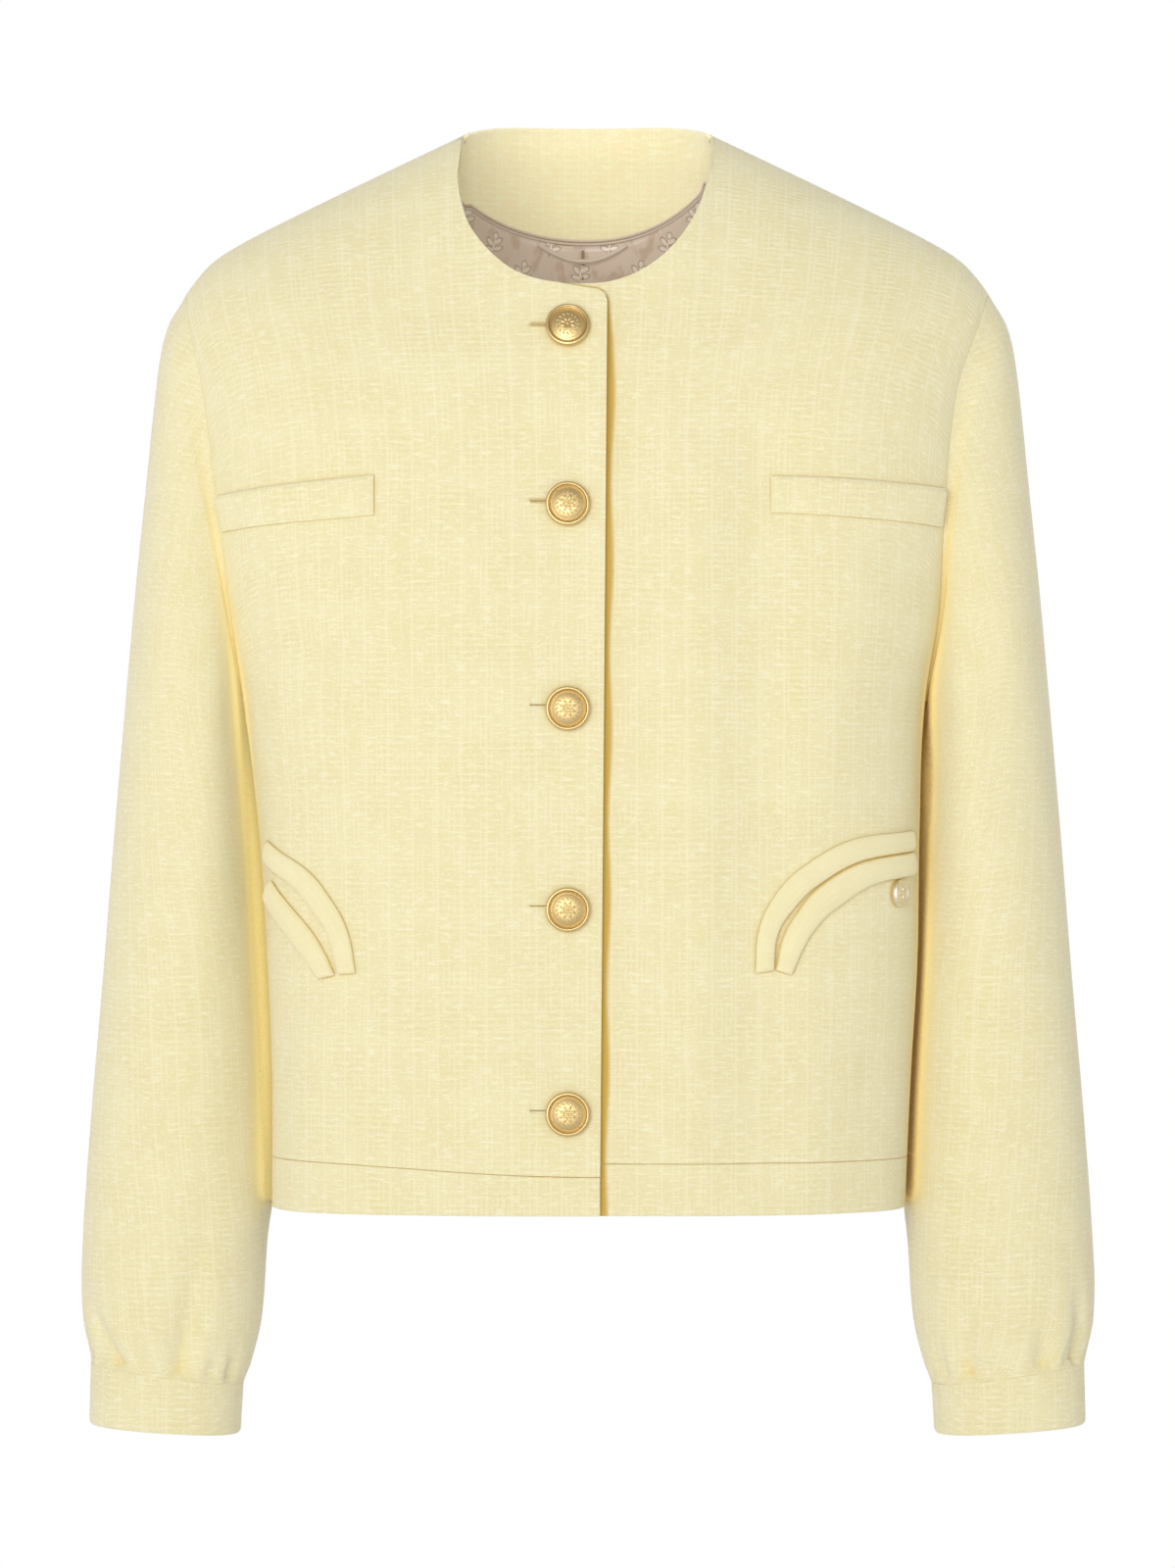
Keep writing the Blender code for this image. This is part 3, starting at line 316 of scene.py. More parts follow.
def angle_at_girth(side, girth, z):
    """The angle this far round the front from the centre line, for rows of girths and heights."""
    angles = np.linspace(0.0, 90.0, GIRTH_MARKS)
    found = []
    for one_girth, one_z in zip(np.ravel(girth), np.ravel(z)):
        travelled = distances_along(torso_point(False, side * angles, one_z))
        found.append(side * np.interp(one_girth, travelled, angles))
    return np.reshape(found, np.shape(girth))


def armhole_place(side, back, share):
    """Angle and height on the armhole, from the underarm (0) to the shoulder (1)."""
    turn = np.pi * share
    middle = (UNDERARM + SHOULDER_POINT) / 2
    half = (SHOULDER_POINT - UNDERARM) / 2
    z = middle - half * signed_power(np.cos(turn), 2 / ARMHOLE_POWER)
    reach = ARMHOLE_BACK if back else ARMHOLE_FRONT
    depth = np.maximum(reach * np.maximum(np.sin(turn), 0.0) ** (2 / ARMHOLE_POWER), 1e-6)
    low, high = (np.full_like(turn, angle) for angle in ARMHOLE_ANGLES)
    for _ in range(HALVINGS):
        angle = (low + high) / 2
        deeper = np.abs(torso_point(back, side * angle, z)[..., 1]) > depth
        low = np.where(deeper, angle, low)
        high = np.where(deeper, high, angle)
    return np.stack([side * low, z], axis=-1)


def armhole_places(side, back, count):
    def path(share):
        places = armhole_place(side, back, share)
        return places, torso_point(back, places[:, 0], places[:, 1])

    return spread(path, count)


# %% [markdown]
# ## Pattern pieces as nets
# A pattern piece is known by its four edges. The front runs from the button edge
# to the side seam and armhole, and from the hem seam to neckline and shoulder.
# The net between the edges follows whichever side edge is nearer, as the grain
# of a well pressed panel does.


# %% Hem seam and necklines
def hem_seam(side, back, x):
    """Height of the seam above the hem band, which sags a little on the right front."""
    if back or side > 0:
        return np.full_like(x, HEM_SEAM)
    return HEM_SEAM - HEM_SEAM_RIGHT_DROP * ease(1.0 + x / half_width(side, HEM_SEAM))


def front_neck_height(side, x):
    """Height of the front neckline at x."""
    sag = NECK_SAG_SLOPE * np.maximum(x - NECK_SAG_START, 0.0) if side < 0 else 0.0
    share = np.where(x * side > 0, np.minimum(np.abs(x) / NECK_HALF_WIDTH, 1.0), 0.0)
    exponent = FRONT_NECK_POWER[side]
    drop = (FRONT_NECK_DROP + NECK_END_Z) * (1.0 - share**exponent) ** (1 / exponent)
    return NECK_END_Z - drop - sag


def front_neckline(side, count):
    """Places along the front neckline, from the front edge to the shoulder."""
    edge = LAP_EDGE if side < 0 else UNDERLAP_EDGE
    corner = LAP_CORNER if side < 0 else 0.0
    corner_share = LAP_CORNER_SHARE if side < 0 else 0.0

    def path(share):
        bend = np.radians(90 * np.minimum(share / max(corner_share, 1e-9), 1.0))
        turn = np.radians(90) * np.maximum(share - corner_share, 0.0) / (1 - corner_share)
        in_corner = share < corner_share
        x = np.where(
            in_corner,
            edge - corner * (1 - np.cos(bend)),
            mix(edge - corner, side * NECK_HALF_WIDTH, np.sin(turn)),
        )
        start = front_neck_height(side, np.full_like(x, edge - corner))
        z = np.where(in_corner, start - corner * (1 - np.sin(bend)), front_neck_height(side, x))
        above_low = ease((z - NECK_BULGE_LOW) / NECK_BULGE_FADE)
        below_top = ease((NECK_END_Z - z) / NECK_BULGE_FADE)
        x = x + side * NECK_BULGE[side] * above_low * below_top
        places = np.stack([angle_at(x, z), z], axis=1)
        return places, torso_point(False, places[:, 0], z)

    return spread(path, count)


def back_neckline(count):
    """Places along the back neckline, from the right shoulder to the left."""

    def path(share):
        x = -NECK_HALF_WIDTH * np.cos(np.pi * share)
        curve = np.maximum(1.0 - np.abs(x / NECK_HALF_WIDTH) ** BACK_NECK_POWER, 0.0)
        z = NECK_END_Z + (BACK_NECK_TOP - NECK_END_Z) * curve**BACK_NECK_CORNER
        places = np.stack([angle_at(x, z), z], axis=1)
        return places, torso_point(True, places[:, 0], z)

    return spread(path, count)


# %% Shoulder, side and front edges
def shoulder_seam(side, count):
    """Places along the shoulder seam, from the neck to the armhole."""
    end = armhole_place(side, False, np.array([1.0]))[0]
    far = abs(torso_point(False, *end)[0])

    def path(share):
        x = mix(NECK_HALF_WIDTH, far, share)
        z = ridge_height(x, False)
        points = np.stack([side * x, np.zeros_like(x), z], axis=1)
        return np.stack([angle_at(side * x, z), z], axis=1), points

    return spread(path, count)


def side_edge(side, back, bottom):
    """Places up the side seam and then up the armhole."""
    heights = mix(bottom, UNDERARM, np.arange(ROWS_BELOW_ARM) / ROWS_BELOW_ARM)
    below = np.stack([np.full_like(heights, side * 90.0), heights], axis=1)
    return np.concatenate([below, armhole_places(side, back, ROWS_ON_ARMHOLE)])


def edge_x(side, z):
    """Where a front's free edge is: the lap's edge slants a little towards the middle."""
    if side > 0:
        return np.full_like(z, UNDERLAP_EDGE)
    down = np.clip((LAP_EDGE_TOP_Z - z) / (LAP_EDGE_TOP_Z - HEM), 0.0, 1.0)
    return mix(LAP_EDGE, LAP_EDGE_LOW, down)


def hem_places(side, back, start_angle, end_angle, count):
    """Places at even distances round the torso, half a gap above the hem seam."""

    def path(share):
        angle = mix(start_angle, end_angle, share)
        x = half_width(angle, HEM_SEAM) * np.sin(np.radians(angle))
        places = np.stack([angle, hem_seam(side, back, x) + SEAM_GAP / 2], axis=1)
        return places, torso_point(back, angle, places[:, 1])

    return spread(path, count)


# %% Nets between the edges
def crowd(share):
    """A share of a panel's height, with the rows closer together near the top."""
    return 1.0 - (1.0 - share) ** ROW_CROWDING


def net_between(bottom, top, first, last):
    """A net of places between four edges, as rows from bottom to top."""
    up = crowd(np.linspace(0.0, 1.0, len(first)))[:, None, None]
    along = np.linspace(0.0, 1.0, len(bottom))[None, :, None]
    straight = mix(bottom[None], top[None], up)
    bend_first = first[:, None] - mix(bottom[0], top[0], up)
    bend_last = last[:, None] - mix(bottom[-1], top[-1], up)
    return straight + (1 - along) ** EDGE_PULL * bend_first + along**EDGE_PULL * bend_last


def front_net(side):
    """The net of a front panel, from its edge to the side seam and armhole."""
    neck = front_neckline(side, COLUMNS_ON_NECK)
    top = np.concatenate([neck[:-1], shoulder_seam(side, COLUMNS_ON_SHOULDER)])
    rows = ROWS_BELOW_ARM + ROWS_ON_ARMHOLE
    start = angle_at(edge_x(side, np.array(HEM_SEAM)), HEM_SEAM)
    bottom = hem_places(side, False, start, side * 90.0, len(top) - 1)
    heights = mix(bottom[0][1], top[0][1], crowd(np.arange(rows + 1) / rows))
    first = np.stack([angle_at(edge_x(side, heights), heights), heights], axis=1)
    return net_between(bottom, top, first, side_edge(side, False, bottom[-1][1]))


def back_net():
    """The net of the back, from the right side to the left."""
    right = shoulder_seam(-1, COLUMNS_ON_SHOULDER)
    left = shoulder_seam(1, COLUMNS_ON_SHOULDER)
    top = np.concatenate([right[::-1][:-1], back_neckline(COLUMNS_ON_BACK_NECK)[:-1], left])
    bottom = hem_places(1, True, -90.0, 90.0, len(top) - 1)
    first = side_edge(-1, True, bottom[0][1])
    last = side_edge(1, True, bottom[-1][1])
    return net_between(bottom, top, first, last)


def hem_net(side, back, angles):
    """The net of a hem band, on the same columns as its panel."""
    x = half_width(angles, HEM_SEAM) * np.sin(np.radians(angles))
    top = hem_seam(side, back, x) - SEAM_GAP / 2
    share = np.linspace(0.0, 1.0, HEM_BAND_ROWS + 1)[:, None]
    return np.stack([angles[None] + 0.0 * share, mix(HEM, top[None], share)], axis=-1)


# %% [markdown]
# ## Folds that the cloth takes
# Tweed is thick and holds soft, wide folds. Each fold here is a stroke from one
# place to another, in girth and height, which swells out or sinks in with round
# ends. Both fronts read the same strokes, so the lap and the hem band move with
# the panel they lie on. The folds die away at the side seams and the shoulders,
# where the pieces are sewn.

# %% Fold tables
FOLD = "girth z end_girth end_z width height"
FRONT_FOLDS = named_rows(
    FOLD,
    # wearer's right front
    (-0.052, -0.230, -0.046, -0.470, 0.030, 0.0030),
    (-0.128, -0.205, -0.134, -0.260, 0.020, -0.0024),
    (-0.098, -0.215, -0.100, -0.275, 0.017, 0.0022),
    (-0.185, -0.262, -0.100, -0.268, 0.010, -0.0016),
    (-0.150, -0.335, -0.110, -0.430, 0.022, -0.0019),
    (-0.075, -0.120, -0.120, -0.150, 0.020, 0.0016),
    (-0.022, -0.110, -0.030, -0.180, 0.011, -0.0014),
    (-0.090, -0.480, -0.085, -0.545, 0.020, -0.0016),
    (-0.150, -0.470, -0.155, -0.545, 0.018, 0.0016),
    # wearer's left front
    (0.056, -0.180, 0.052, -0.500, 0.018, 0.0032),
    (0.086, -0.170, 0.088, -0.520, 0.019, -0.0035),
    (0.128, -0.115, 0.126, -0.170, 0.026, 0.0027),
    (0.135, -0.235, 0.118, -0.330, 0.024, 0.0022),
    (0.150, -0.470, 0.140, -0.545, 0.020, -0.0016),
    (0.030, -0.110, 0.036, -0.160, 0.012, 0.0014),
)
BACK_FOLDS = named_rows(
    FOLD,
    (-0.055, -0.170, -0.062, -0.500, 0.024, 0.0030),
    (-0.108, -0.210, -0.100, -0.520, 0.020, -0.0030),
    (0.040, -0.200, 0.052, -0.545, 0.022, -0.0027),
    (0.096, -0.180, 0.102, -0.460, 0.024, 0.0032),
    (-0.140, -0.160, -0.110, -0.235, 0.016, -0.0022),
    (0.146, -0.150, 0.118, -0.230, 0.016, -0.0019),
    (-0.020, -0.060, 0.020, -0.062, 0.014, -0.0014),
    (-0.150, -0.400, -0.146, -0.545, 0.020, 0.0019),
)
FOLD_SIDE_FADE = 0.014
FOLD_TOP_FADE = 0.03
ARMHOLE_FADE_WIDTH = 0.055
ARMHOLE_FADE_RISE = 0.05


# %% Fold functions
def relief(folds, girth, z):
    """How far the folds move the cloth outwards at each place."""
    total = np.zeros_like(girth)
    for fold in folds:
        run_girth = fold.end_girth - fold.girth
        run_z = fold.end_z - fold.z
        length = run_girth**2 + run_z**2
        share = ((girth - fold.girth) * run_girth + (z - fold.z) * run_z) / length
        share = np.clip(share, 0.0, 1.0)
        away = np.hypot(girth - fold.girth - run_girth * share, z - fold.z - run_z * share)
        total = total + fold.height * np.exp(-((away / fold.width) ** 2))
    return total


def lap_step(side, x):
    """How far the under front lies behind the front that laps over it."""
    if side < 0:
        return np.zeros_like(x)
    return LAP_STEP * (1.0 - ease((x - LAP_EDGE) / LAP_FADE))


def lap_lift(side, x, z):
    """How far the front edge that laps over stands off: more near the second button."""
    if side > 0:
        return np.zeros_like(x)
    loose = mix(LAP_LIFT, LAP_LIFT_HIGH, np.exp(-(((z - LAP_LOOSE) / LAP_LOOSE_REACH) ** 2)))
    return loose * ease((x - LAP_EDGE + LAP_LIFT_REACH) / LAP_LIFT_REACH)


def fold_height(back, angle, z):
    """The folds' relief at torso places, faded at the side seams, armholes and shoulders."""
    girth = girth_of(back, angle, z)
    side_girth = np.abs(girth_of(back, np.where(angle < 0, -90.0, 90.0), z))
    height = relief(BACK_FOLDS if back else FRONT_FOLDS, girth, z)
    x = half_width(angle, z) * np.sin(np.radians(angle))
    below_ridge = ridge_height(x, back) - z
    to_armhole = np.where(z > UNDERARM, ARMHOLE_FADE_WIDTH, 0.0)
    to_armhole = to_armhole * ease((z - UNDERARM) / ARMHOLE_FADE_RISE)
    fade = ease((side_girth - np.abs(girth) - to_armhole) / FOLD_SIDE_FADE)
    return height * fade * ease(below_ridge / FOLD_TOP_FADE)


def cloth_point(side, back, angle, z, depth):
    """Points of a panel this far in from its outer face, folds included."""
    angle, z = np.broadcast_arrays(angle, z)
    points = torso_point(back, angle, z)
    normals = torso_normal(back, angle, z)
    if not back:
        points[..., 1] += lap_step(side, points[..., 0]) - lap_lift(side, points[..., 0], z)
    parting = ease(1.0 - np.abs(points[..., 1]) / SEAM_FADE) * SEAM_GAP / 2
    points[..., 1] += parting if back else -parting
    lift = fold_height(back, angle, z) - depth
    return points + normals * lift[..., None]


# %% [markdown]
# ## Cloth walls
# A wall is an outer net, the same net moved in by the cloth's thickness, and the
# cut edge between them. Its UV map, named "weave", is the flat cut in metres, so
# a material drawn in it keeps its true thread size over every fold. The inner
# face takes a second material. A small bevel rounds the turned edges.


# %% Wall builder
JACKET = bpy.data.collections.new("jacket looks")
bpy.context.scene.collection.children.link(JACKET)
EDGE_ROUNDING = 0.0007


def mesh_volume(points, quads):
    """Six times the volume inside a closed mesh of quads."""
    a, b, c, d = (points[quads[:, k]] for k in range(4))
    first = np.einsum("ij,ij->i", a, np.cross(b, c))
    second = np.einsum("ij,ij->i", a, np.cross(c, d))
    return float((first + second).sum())


def close_round(grid):
    """A grid with its first column once more at its end."""
    return np.concatenate([grid, grid[:, :1]], axis=1)


def grid_quads(grid):
    """The four corners of each cell in a grid of point numbers."""
    return np.stack([grid[:-1, :-1], grid[:-1, 1:], grid[1:, 1:], grid[1:, :-1]], axis=-1)


def wall(name, outer, inner, uv, closed=False, inner_slot=1, facing_columns=0):
    """A closed wall between an outer and an inner grid of points."""
    rows, columns = outer.shape[:2]
    index = np.arange(rows * columns).reshape(rows, columns)
    if closed:
        index = close_round(index)
    corner = np.arange(index.size).reshape(index.shape)
    under = corner + index.size
    strips = [(corner[0, ::-1], under[0, ::-1]), (corner[-1], under[-1])]
    if not closed:
        strips += [(corner[:, 0], under[:, 0]), (corner[::-1, -1], under[::-1, -1])]
    outside = grid_quads(corner).reshape(-1, 4)
    inside = grid_quads(under)[..., ::-1]
    slots_inside = np.full(inside.shape[:2], inner_slot)
    slots_inside[:, :facing_columns] = 0
    rims = [np.stack([a[:-1], a[1:], b[1:], b[:-1]], axis=-1) for a, b in strips]
    corners = np.concatenate([outside, inside.reshape(-1, 4), *rims])
    slots = np.zeros(len(corners), dtype=int)
    slots[len(outside) : len(outside) + slots_inside.size] = slots_inside.ravel()
    point_of = np.concatenate([index.ravel(), index.ravel() + rows * columns])
    points = np.concatenate([outer.reshape(-1, 3), inner.reshape(-1, 3)])
    if mesh_volume(points, point_of[corners]) < 0:
        corners = corners[:, ::-1]
    data = new_mesh(name, points.tolist(), point_of[corners].tolist())
    weave = data.uv_layers.new(name="weave")
    flat = np.concatenate([uv.reshape(-1, 2), uv.reshape(-1, 2)])
    weave.data.foreach_set("uv", flat[corners].ravel())
    data.polygons.foreach_set("material_index", slots)
    data.shade_smooth()
    data.update()
    return new_object(name, data)


# %% Pieces and turned edges
def new_mesh(name, points, faces):
    data = bpy.data.meshes.new(name)
    data.from_pydata(points, [], faces)
    return data


def mesh_of(name, shape):
    """A plain mesh from a bmesh, which is freed."""
    data = bpy.data.meshes.new(name)
    shape.to_mesh(data)
    shape.free()
    return data


def new_object(name, data):
    made = bpy.data.objects.new(name.replace(" ", "_"), data)
    JACKET.objects.link(made)
    return made


def round_edges(piece, width=EDGE_ROUNDING, segments=2, angle=50):
    """A bevel on the cut edges, made into the mesh itself."""
    bevel = piece.modifiers.new("turned edges", "BEVEL")
    bevel.width = width
    bevel.segments = segments
    bevel.limit_method = "ANGLE"
    bevel.angle_limit = math.radians(angle)
    bevel.loop_slide = False
    return settle(piece)


def settle(piece):
    """Replaces a piece's mesh with what its modifiers make of it."""
    seen = piece.evaluated_get(bpy.context.evaluated_depsgraph_get())
    data = bpy.data.meshes.new_from_object(seen)
    piece.modifiers.clear()
    piece.data = data
    return piece


def panel_uv(outer, girth, base):
    """The flat cut of a panel: girth across, and distance up each column from its base."""
    steps = np.hypot(np.diff(outer[..., 1], axis=0), np.diff(outer[..., 2], axis=0))
    height = np.concatenate([np.zeros((1, outer.shape[1])), np.cumsum(steps, axis=0)])
    return np.stack([girth, base + height], axis=-1)


def panel(name, side, back, net, facing_columns=0):
    """A tweed panel of the torso over a net of places."""
    angle, z = net[..., 0], net[..., 1]
    outer = cloth_point(side, back, angle, z, 0.0)
    inner = cloth_point(side, back, angle, z, TWEED)
    uv = panel_uv(outer, girth_of(back, angle, z), z[:1])
    made = wall(name, outer, inner, uv, facing_columns=facing_columns)
    return round_edges(made)


# %% [markdown]
# ## Fronts, back and hem bands
# The right front laps over the left. Inside each front, a strip of tweed faces
# the edge, and satin lines the rest. The hem band is a separate band of tweed
# below a seam, cut on the same columns as its panel.

# %% Torso panels
FACING_COLUMNS = 20
PIECES = {}
for side, name in ((-1, "front right"), (1, "front left")):
    net = front_net(side)
    PIECES[name] = panel(name + " panel", side, False, net, facing_columns=FACING_COLUMNS)
    band = hem_net(side, False, net[0, :, 0])
    made = panel(name + " hem band", side, False, band, facing_columns=FACING_COLUMNS)
    PIECES["hem band " + name] = made

BACK_NET = back_net()
PIECES["back"] = panel("back panel", 1, True, BACK_NET)
PIECES["hem band back"] = panel("back hem band", 1, True, hem_net(1, True, BACK_NET[0, :, 0]))
for name, piece in PIECES.items():
    print(name, len(piece.data.polygons), "faces")

# %% [markdown]
# ## Sleeves and cuffs
# A sleeve is sewn round the armhole, so its first ring is the armhole itself. The
# rings then turn level on their way down. A turn is counted from the inside of
# the arm over the front to the outside. Where the sleeve is gathered into its
# cuff, short folds run up from the seam, and a few long soft ones lie above.

# %% Sleeve measures
SLEEVE_LEVELS = named_rows(
    "z outer inner front back",
    (-0.6360, 0.2520, 0.1755, 0.0410, 0.0330),
    (-0.6260, 0.2532, 0.1715, 0.0450, 0.0380),
    (-0.6020, 0.2580, 0.1660, 0.0510, 0.0440),
    (-0.5600, 0.2570, 0.1640, 0.0530, 0.0480),
    (-0.5010, 0.2530, 0.1655, 0.0550, 0.0550),
    (-0.4310, 0.2470, 0.1690, 0.0590, 0.0640),
    (-0.3560, 0.2410, 0.1730, 0.0660, 0.0780),
    (-0.2810, 0.2345, 0.1780, 0.0700, 0.0860),
    (-0.2310, 0.2300, 0.1800, 0.0660, 0.0800),
    (-0.1710, 0.2240, 0.1800, 0.0580, 0.0640),
    (-0.1410, 0.2210, 0.1800, 0.0560, 0.0600),
    (-0.1115, 0.2172, 0.1800, 0.0560, 0.0600),
    (-0.0965, 0.2130, 0.1800, 0.0560, 0.0600),
    (-0.0820, 0.2045, 0.1800, 0.0560, 0.0600),
)
SLEEVE_TOP = SHOULDER_POINT
SLEEVE_END_OUTER = -0.626
SLEEVE_END_INNER = -0.6365
SLEEVE_STEPS = 21
RINGS_IN_STEP = 7
RING_SPREAD = 1.15
SLEEVE_POWER = 2.3
TILT_END = 0.7
TILT_POWER = 1.5
CAP_BLEND = 0.3
BODY_CLEARANCE = {-1: 0.0009, 1: 0.0018}
CLEARANCE_SHARE = 0.25
WRAP_REACH = 0.018
WRAP_TOP = -0.24
WRAP_END = -0.6
WRAP_START = 0.06
WRAP_FADE = 0.1
WRAP_DEPTH = 0.04
HEAD_LIFT = 0.0026
HEAD_END = 0.03
HALF_LOOP = 13 * 4
GRAIN_REACH = 10
HEAD_SIDEWAYS = 0.85
HEAD_ONWARDS = 0.5
SEAM_NORMAL_SHARE = 0.012
SLEEVE_FOLD_START = (0.03, 0.10)
SLEEVE_FOLD_END = 0.008
TUBE_ROUNDING = 0.0002

GATHER = "turn reach depth width lean"
GATHER_START = 0.0022
GATHER_REACHES = 2.0
CUFF_GATHERS = {
    -1: named_rows(
        GATHER,
        (33, 0.014, 0.0049, 7, 6), (56, 0.013, 0.0038, 6, 0),
        (80, 0.050, 0.0090, 8, -5), (99, 0.015, 0.0038, 6, 5),
        (120, 0.029, 0.0081, 8, 26), (143, 0.013, 0.0038, 7, 0),
        (166, 0.024, 0.0052, 9, 4), (214, 0.037, 0.0072, 10, -9),
        (240, 0.015, 0.0041, 8, 3), (262, 0.045, 0.0081, 10, 8),
        (312, 0.026, 0.0061, 9, -6),
    ),
    1: named_rows(
        GATHER,
        (36, 0.015, 0.0041, 7, 0), (58, 0.030, 0.0084, 8, 6),
        (84, 0.015, 0.0041, 7, -3), (114, 0.022, 0.0072, 8, -5),
        (134, 0.013, 0.0038, 6, 2), (150, 0.032, 0.0070, 8, -9),
        (205, 0.041, 0.0075, 10, 10), (230, 0.017, 0.0041, 8, -3),
        (252, 0.028, 0.0064, 9, -5), (300, 0.039, 0.0075, 10, 7),
    ),
}
CUFF_TOP_OUTER = -0.6261
CUFF_TOP_INNER = -0.6366
CUFF_END_OUTER = -0.657
CUFF_END_INNER = -0.662
CUFF_ROWS = 24
CUFF_ROLL = 0.003
CUFF_ROLL_IN = 0.5
CUFF_CROWDING = 2.2
CUFF_FLARE_OUTER = 0.0008
CUFF_FLARE_INNER = 0.0015

# Soft folds on the sleeves: girth is counted round the ring from the inside.
SLEEVE_FOLDS = {
    -1: named_rows(
        FOLD,
        (0.080, -0.200, 0.084, -0.560, 0.016, 0.0016),
        (0.052, -0.250, 0.048, -0.520, 0.013, -0.0014),
        (0.112, -0.300, 0.118, -0.480, 0.016, -0.0012),
        (0.200, -0.330, 0.230, -0.400, 0.016, -0.0018),
        (0.210, -0.430, 0.190, -0.560, 0.018, 0.0016),
        (0.090, -0.560, 0.100, -0.615, 0.012, 0.0014),
    ),
    1: named_rows(
        FOLD,
        (0.078, -0.210, 0.080, -0.560, 0.017, 0.0016),
        (0.110, -0.260, 0.114, -0.420, 0.016, -0.0012),
        (0.050, -0.280, 0.050, -0.500, 0.012, -0.0012),
        (0.205, -0.350, 0.232, -0.420, 0.016, -0.0018),
        (0.200, -0.460, 0.180, -0.580, 0.018, 0.0014),
        (0.066, -0.540, 0.060, -0.610, 0.011, 0.0014),
    ),
}


# %% Slanted rings
def ring_frame(side, share):
    """Outer and inner ends of the sleeve's rings, and their reach front and back."""
    outer_z = mix(SLEEVE_TOP, SLEEVE_END_OUTER, share)
    tilt = np.maximum(1.0 - share / TILT_END, 0.0) ** TILT_POWER
    slant = (SLEEVE_TOP - UNDERARM) * tilt
    inner_z = outer_z - slant - (SLEEVE_END_OUTER - SLEEVE_END_INNER) * share
    middle_z = (outer_z + inner_z) / 2
    level = np.zeros_like(share)
    outer = np.stack([side * read_curve(SLEEVE_LEVELS, "outer", outer_z), level, outer_z], axis=-1)
    inner = np.stack([side * read_curve(SLEEVE_LEVELS, "inner", inner_z), level, inner_z], axis=-1)
    front = read_curve(SLEEVE_LEVELS, "front", middle_z)
    back = read_curve(SLEEVE_LEVELS, "back", middle_z)
    return outer, inner, front, back


def oval_points(frame_of_ring, turns):
    """Points of rings, one row for each; a turn runs from the inside over the front."""
    outer, inner, front, back = frame_of_ring
    cosine = signed_power(np.cos(turns), 2 / SLEEVE_POWER)[None, :, None]
    sine = signed_power(np.sin(turns), 2 / SLEEVE_POWER)[None]
    points = ((outer + inner) / 2)[:, None] - ((outer - inner) / 2)[:, None] * cosine
    points[..., 1] -= sine * np.where(sine > 0, front[:, None], back[:, None])
    below_top = ease((WRAP_TOP - points[..., 2]) / WRAP_START)
    above_end = ease((points[..., 2] - WRAP_END) / WRAP_FADE)
    wrap = WRAP_REACH * ease(points[..., 1] / WRAP_DEPTH) * (below_top * above_end)
    points[..., 0] -= np.sign(points[..., 0]) * np.where(points[..., 1] > 0, wrap, 0.0)
    return points


def keep_clear(side, points):
    """Moves points sideways until they are clear of the torso round the armhole."""
    x, y, z = points[..., 0], points[..., 1], points[..., 2]
    back = y > 0
    rise = (2 * z - UNDERARM - SHOULDER_POINT) / (SHOULDER_POINT - UNDERARM)
    reach = y / np.where(back, ARMHOLE_BACK, ARMHOLE_FRONT)
    outside = np.abs(rise) ** ARMHOLE_POWER + np.abs(reach) ** ARMHOLE_POWER - 1.0
    depth = np.where(back, read_curve(BODY_LEVELS, "back", z), read_curve(BODY_LEVELS, "front", z))
    inside = np.maximum(1.0 - (np.abs(y) / depth) ** SECTION_POWER, 0.0) ** (1.0 / SECTION_POWER)
    clearance = mix(SEAM_GAP, BODY_CLEARANCE[side], ease(outside / CLEARANCE_SHARE)) + SEAM_GAP
    limit = half_width(side, z) * inside + clearance
    moved = np.where((z <= CHEST) & (outside >= 0), np.maximum(np.abs(x), limit), np.abs(x))
    return np.stack([side * moved, y, z], axis=-1)


def gather_depth(side, turns, above_cuff):
    """How far the gathers draw the sleeve in at places above its cuff."""
    degrees = np.degrees(turns)[None] % 360
    depth = np.zeros((len(above_cuff), len(turns)))
    for gather in CUFF_GATHERS[side]:
        rise = above_cuff[:, None] / gather.reach
        away = (degrees - gather.turn - gather.lean * rise + 180) % 360 - 180
        fade = np.exp(-rise * rise) * ease(above_cuff[:, None] / GATHER_START)
        fade = fade * (rise < GATHER_REACHES)
        depth = depth + gather.depth * fade * np.exp(-((away / gather.width) ** 2))
    return depth


# %% From the armhole's loop to rings
def armhole_loop(side):
    """Points, normals and off-panel directions round the whole armhole."""
    front = armhole_places(side, False, HALF_LOOP)
    back = armhole_places(side, True, HALF_LOOP)[-2:0:-1]
    points, normals = [], []
    for on_back, places in ((False, front), (True, back)):
        points.append(cloth_point(side, on_back, places[:, 0], places[:, 1], 0.0))
        normals.append(torso_normal(on_back, places[:, 0], places[:, 1]))
    points = np.concatenate(points)
    normals = np.concatenate(normals)
    along = np.roll(points, -1, axis=0) - np.roll(points, 1, axis=0)
    off = unit(np.cross(along, normals))
    target = points.mean(axis=0) + np.array([side * ARMHOLE_OUTSIDE, 0.0, 0.0])
    away = np.einsum("ij,ij->i", off, target - points) < 0
    return points, normals, np.where(away[:, None], -off, off)


def ring_normals(rings):
    """Outward directions of a tube of rings."""
    around = np.roll(rings, -1, axis=1) - np.roll(rings, 1, axis=1)
    normals = unit(np.cross(around, np.gradient(rings, axis=0)))
    outwards = (normals[-1] * (rings[-1] - rings[-1].mean(axis=0))).sum()
    return normals if outwards > 0 else -normals


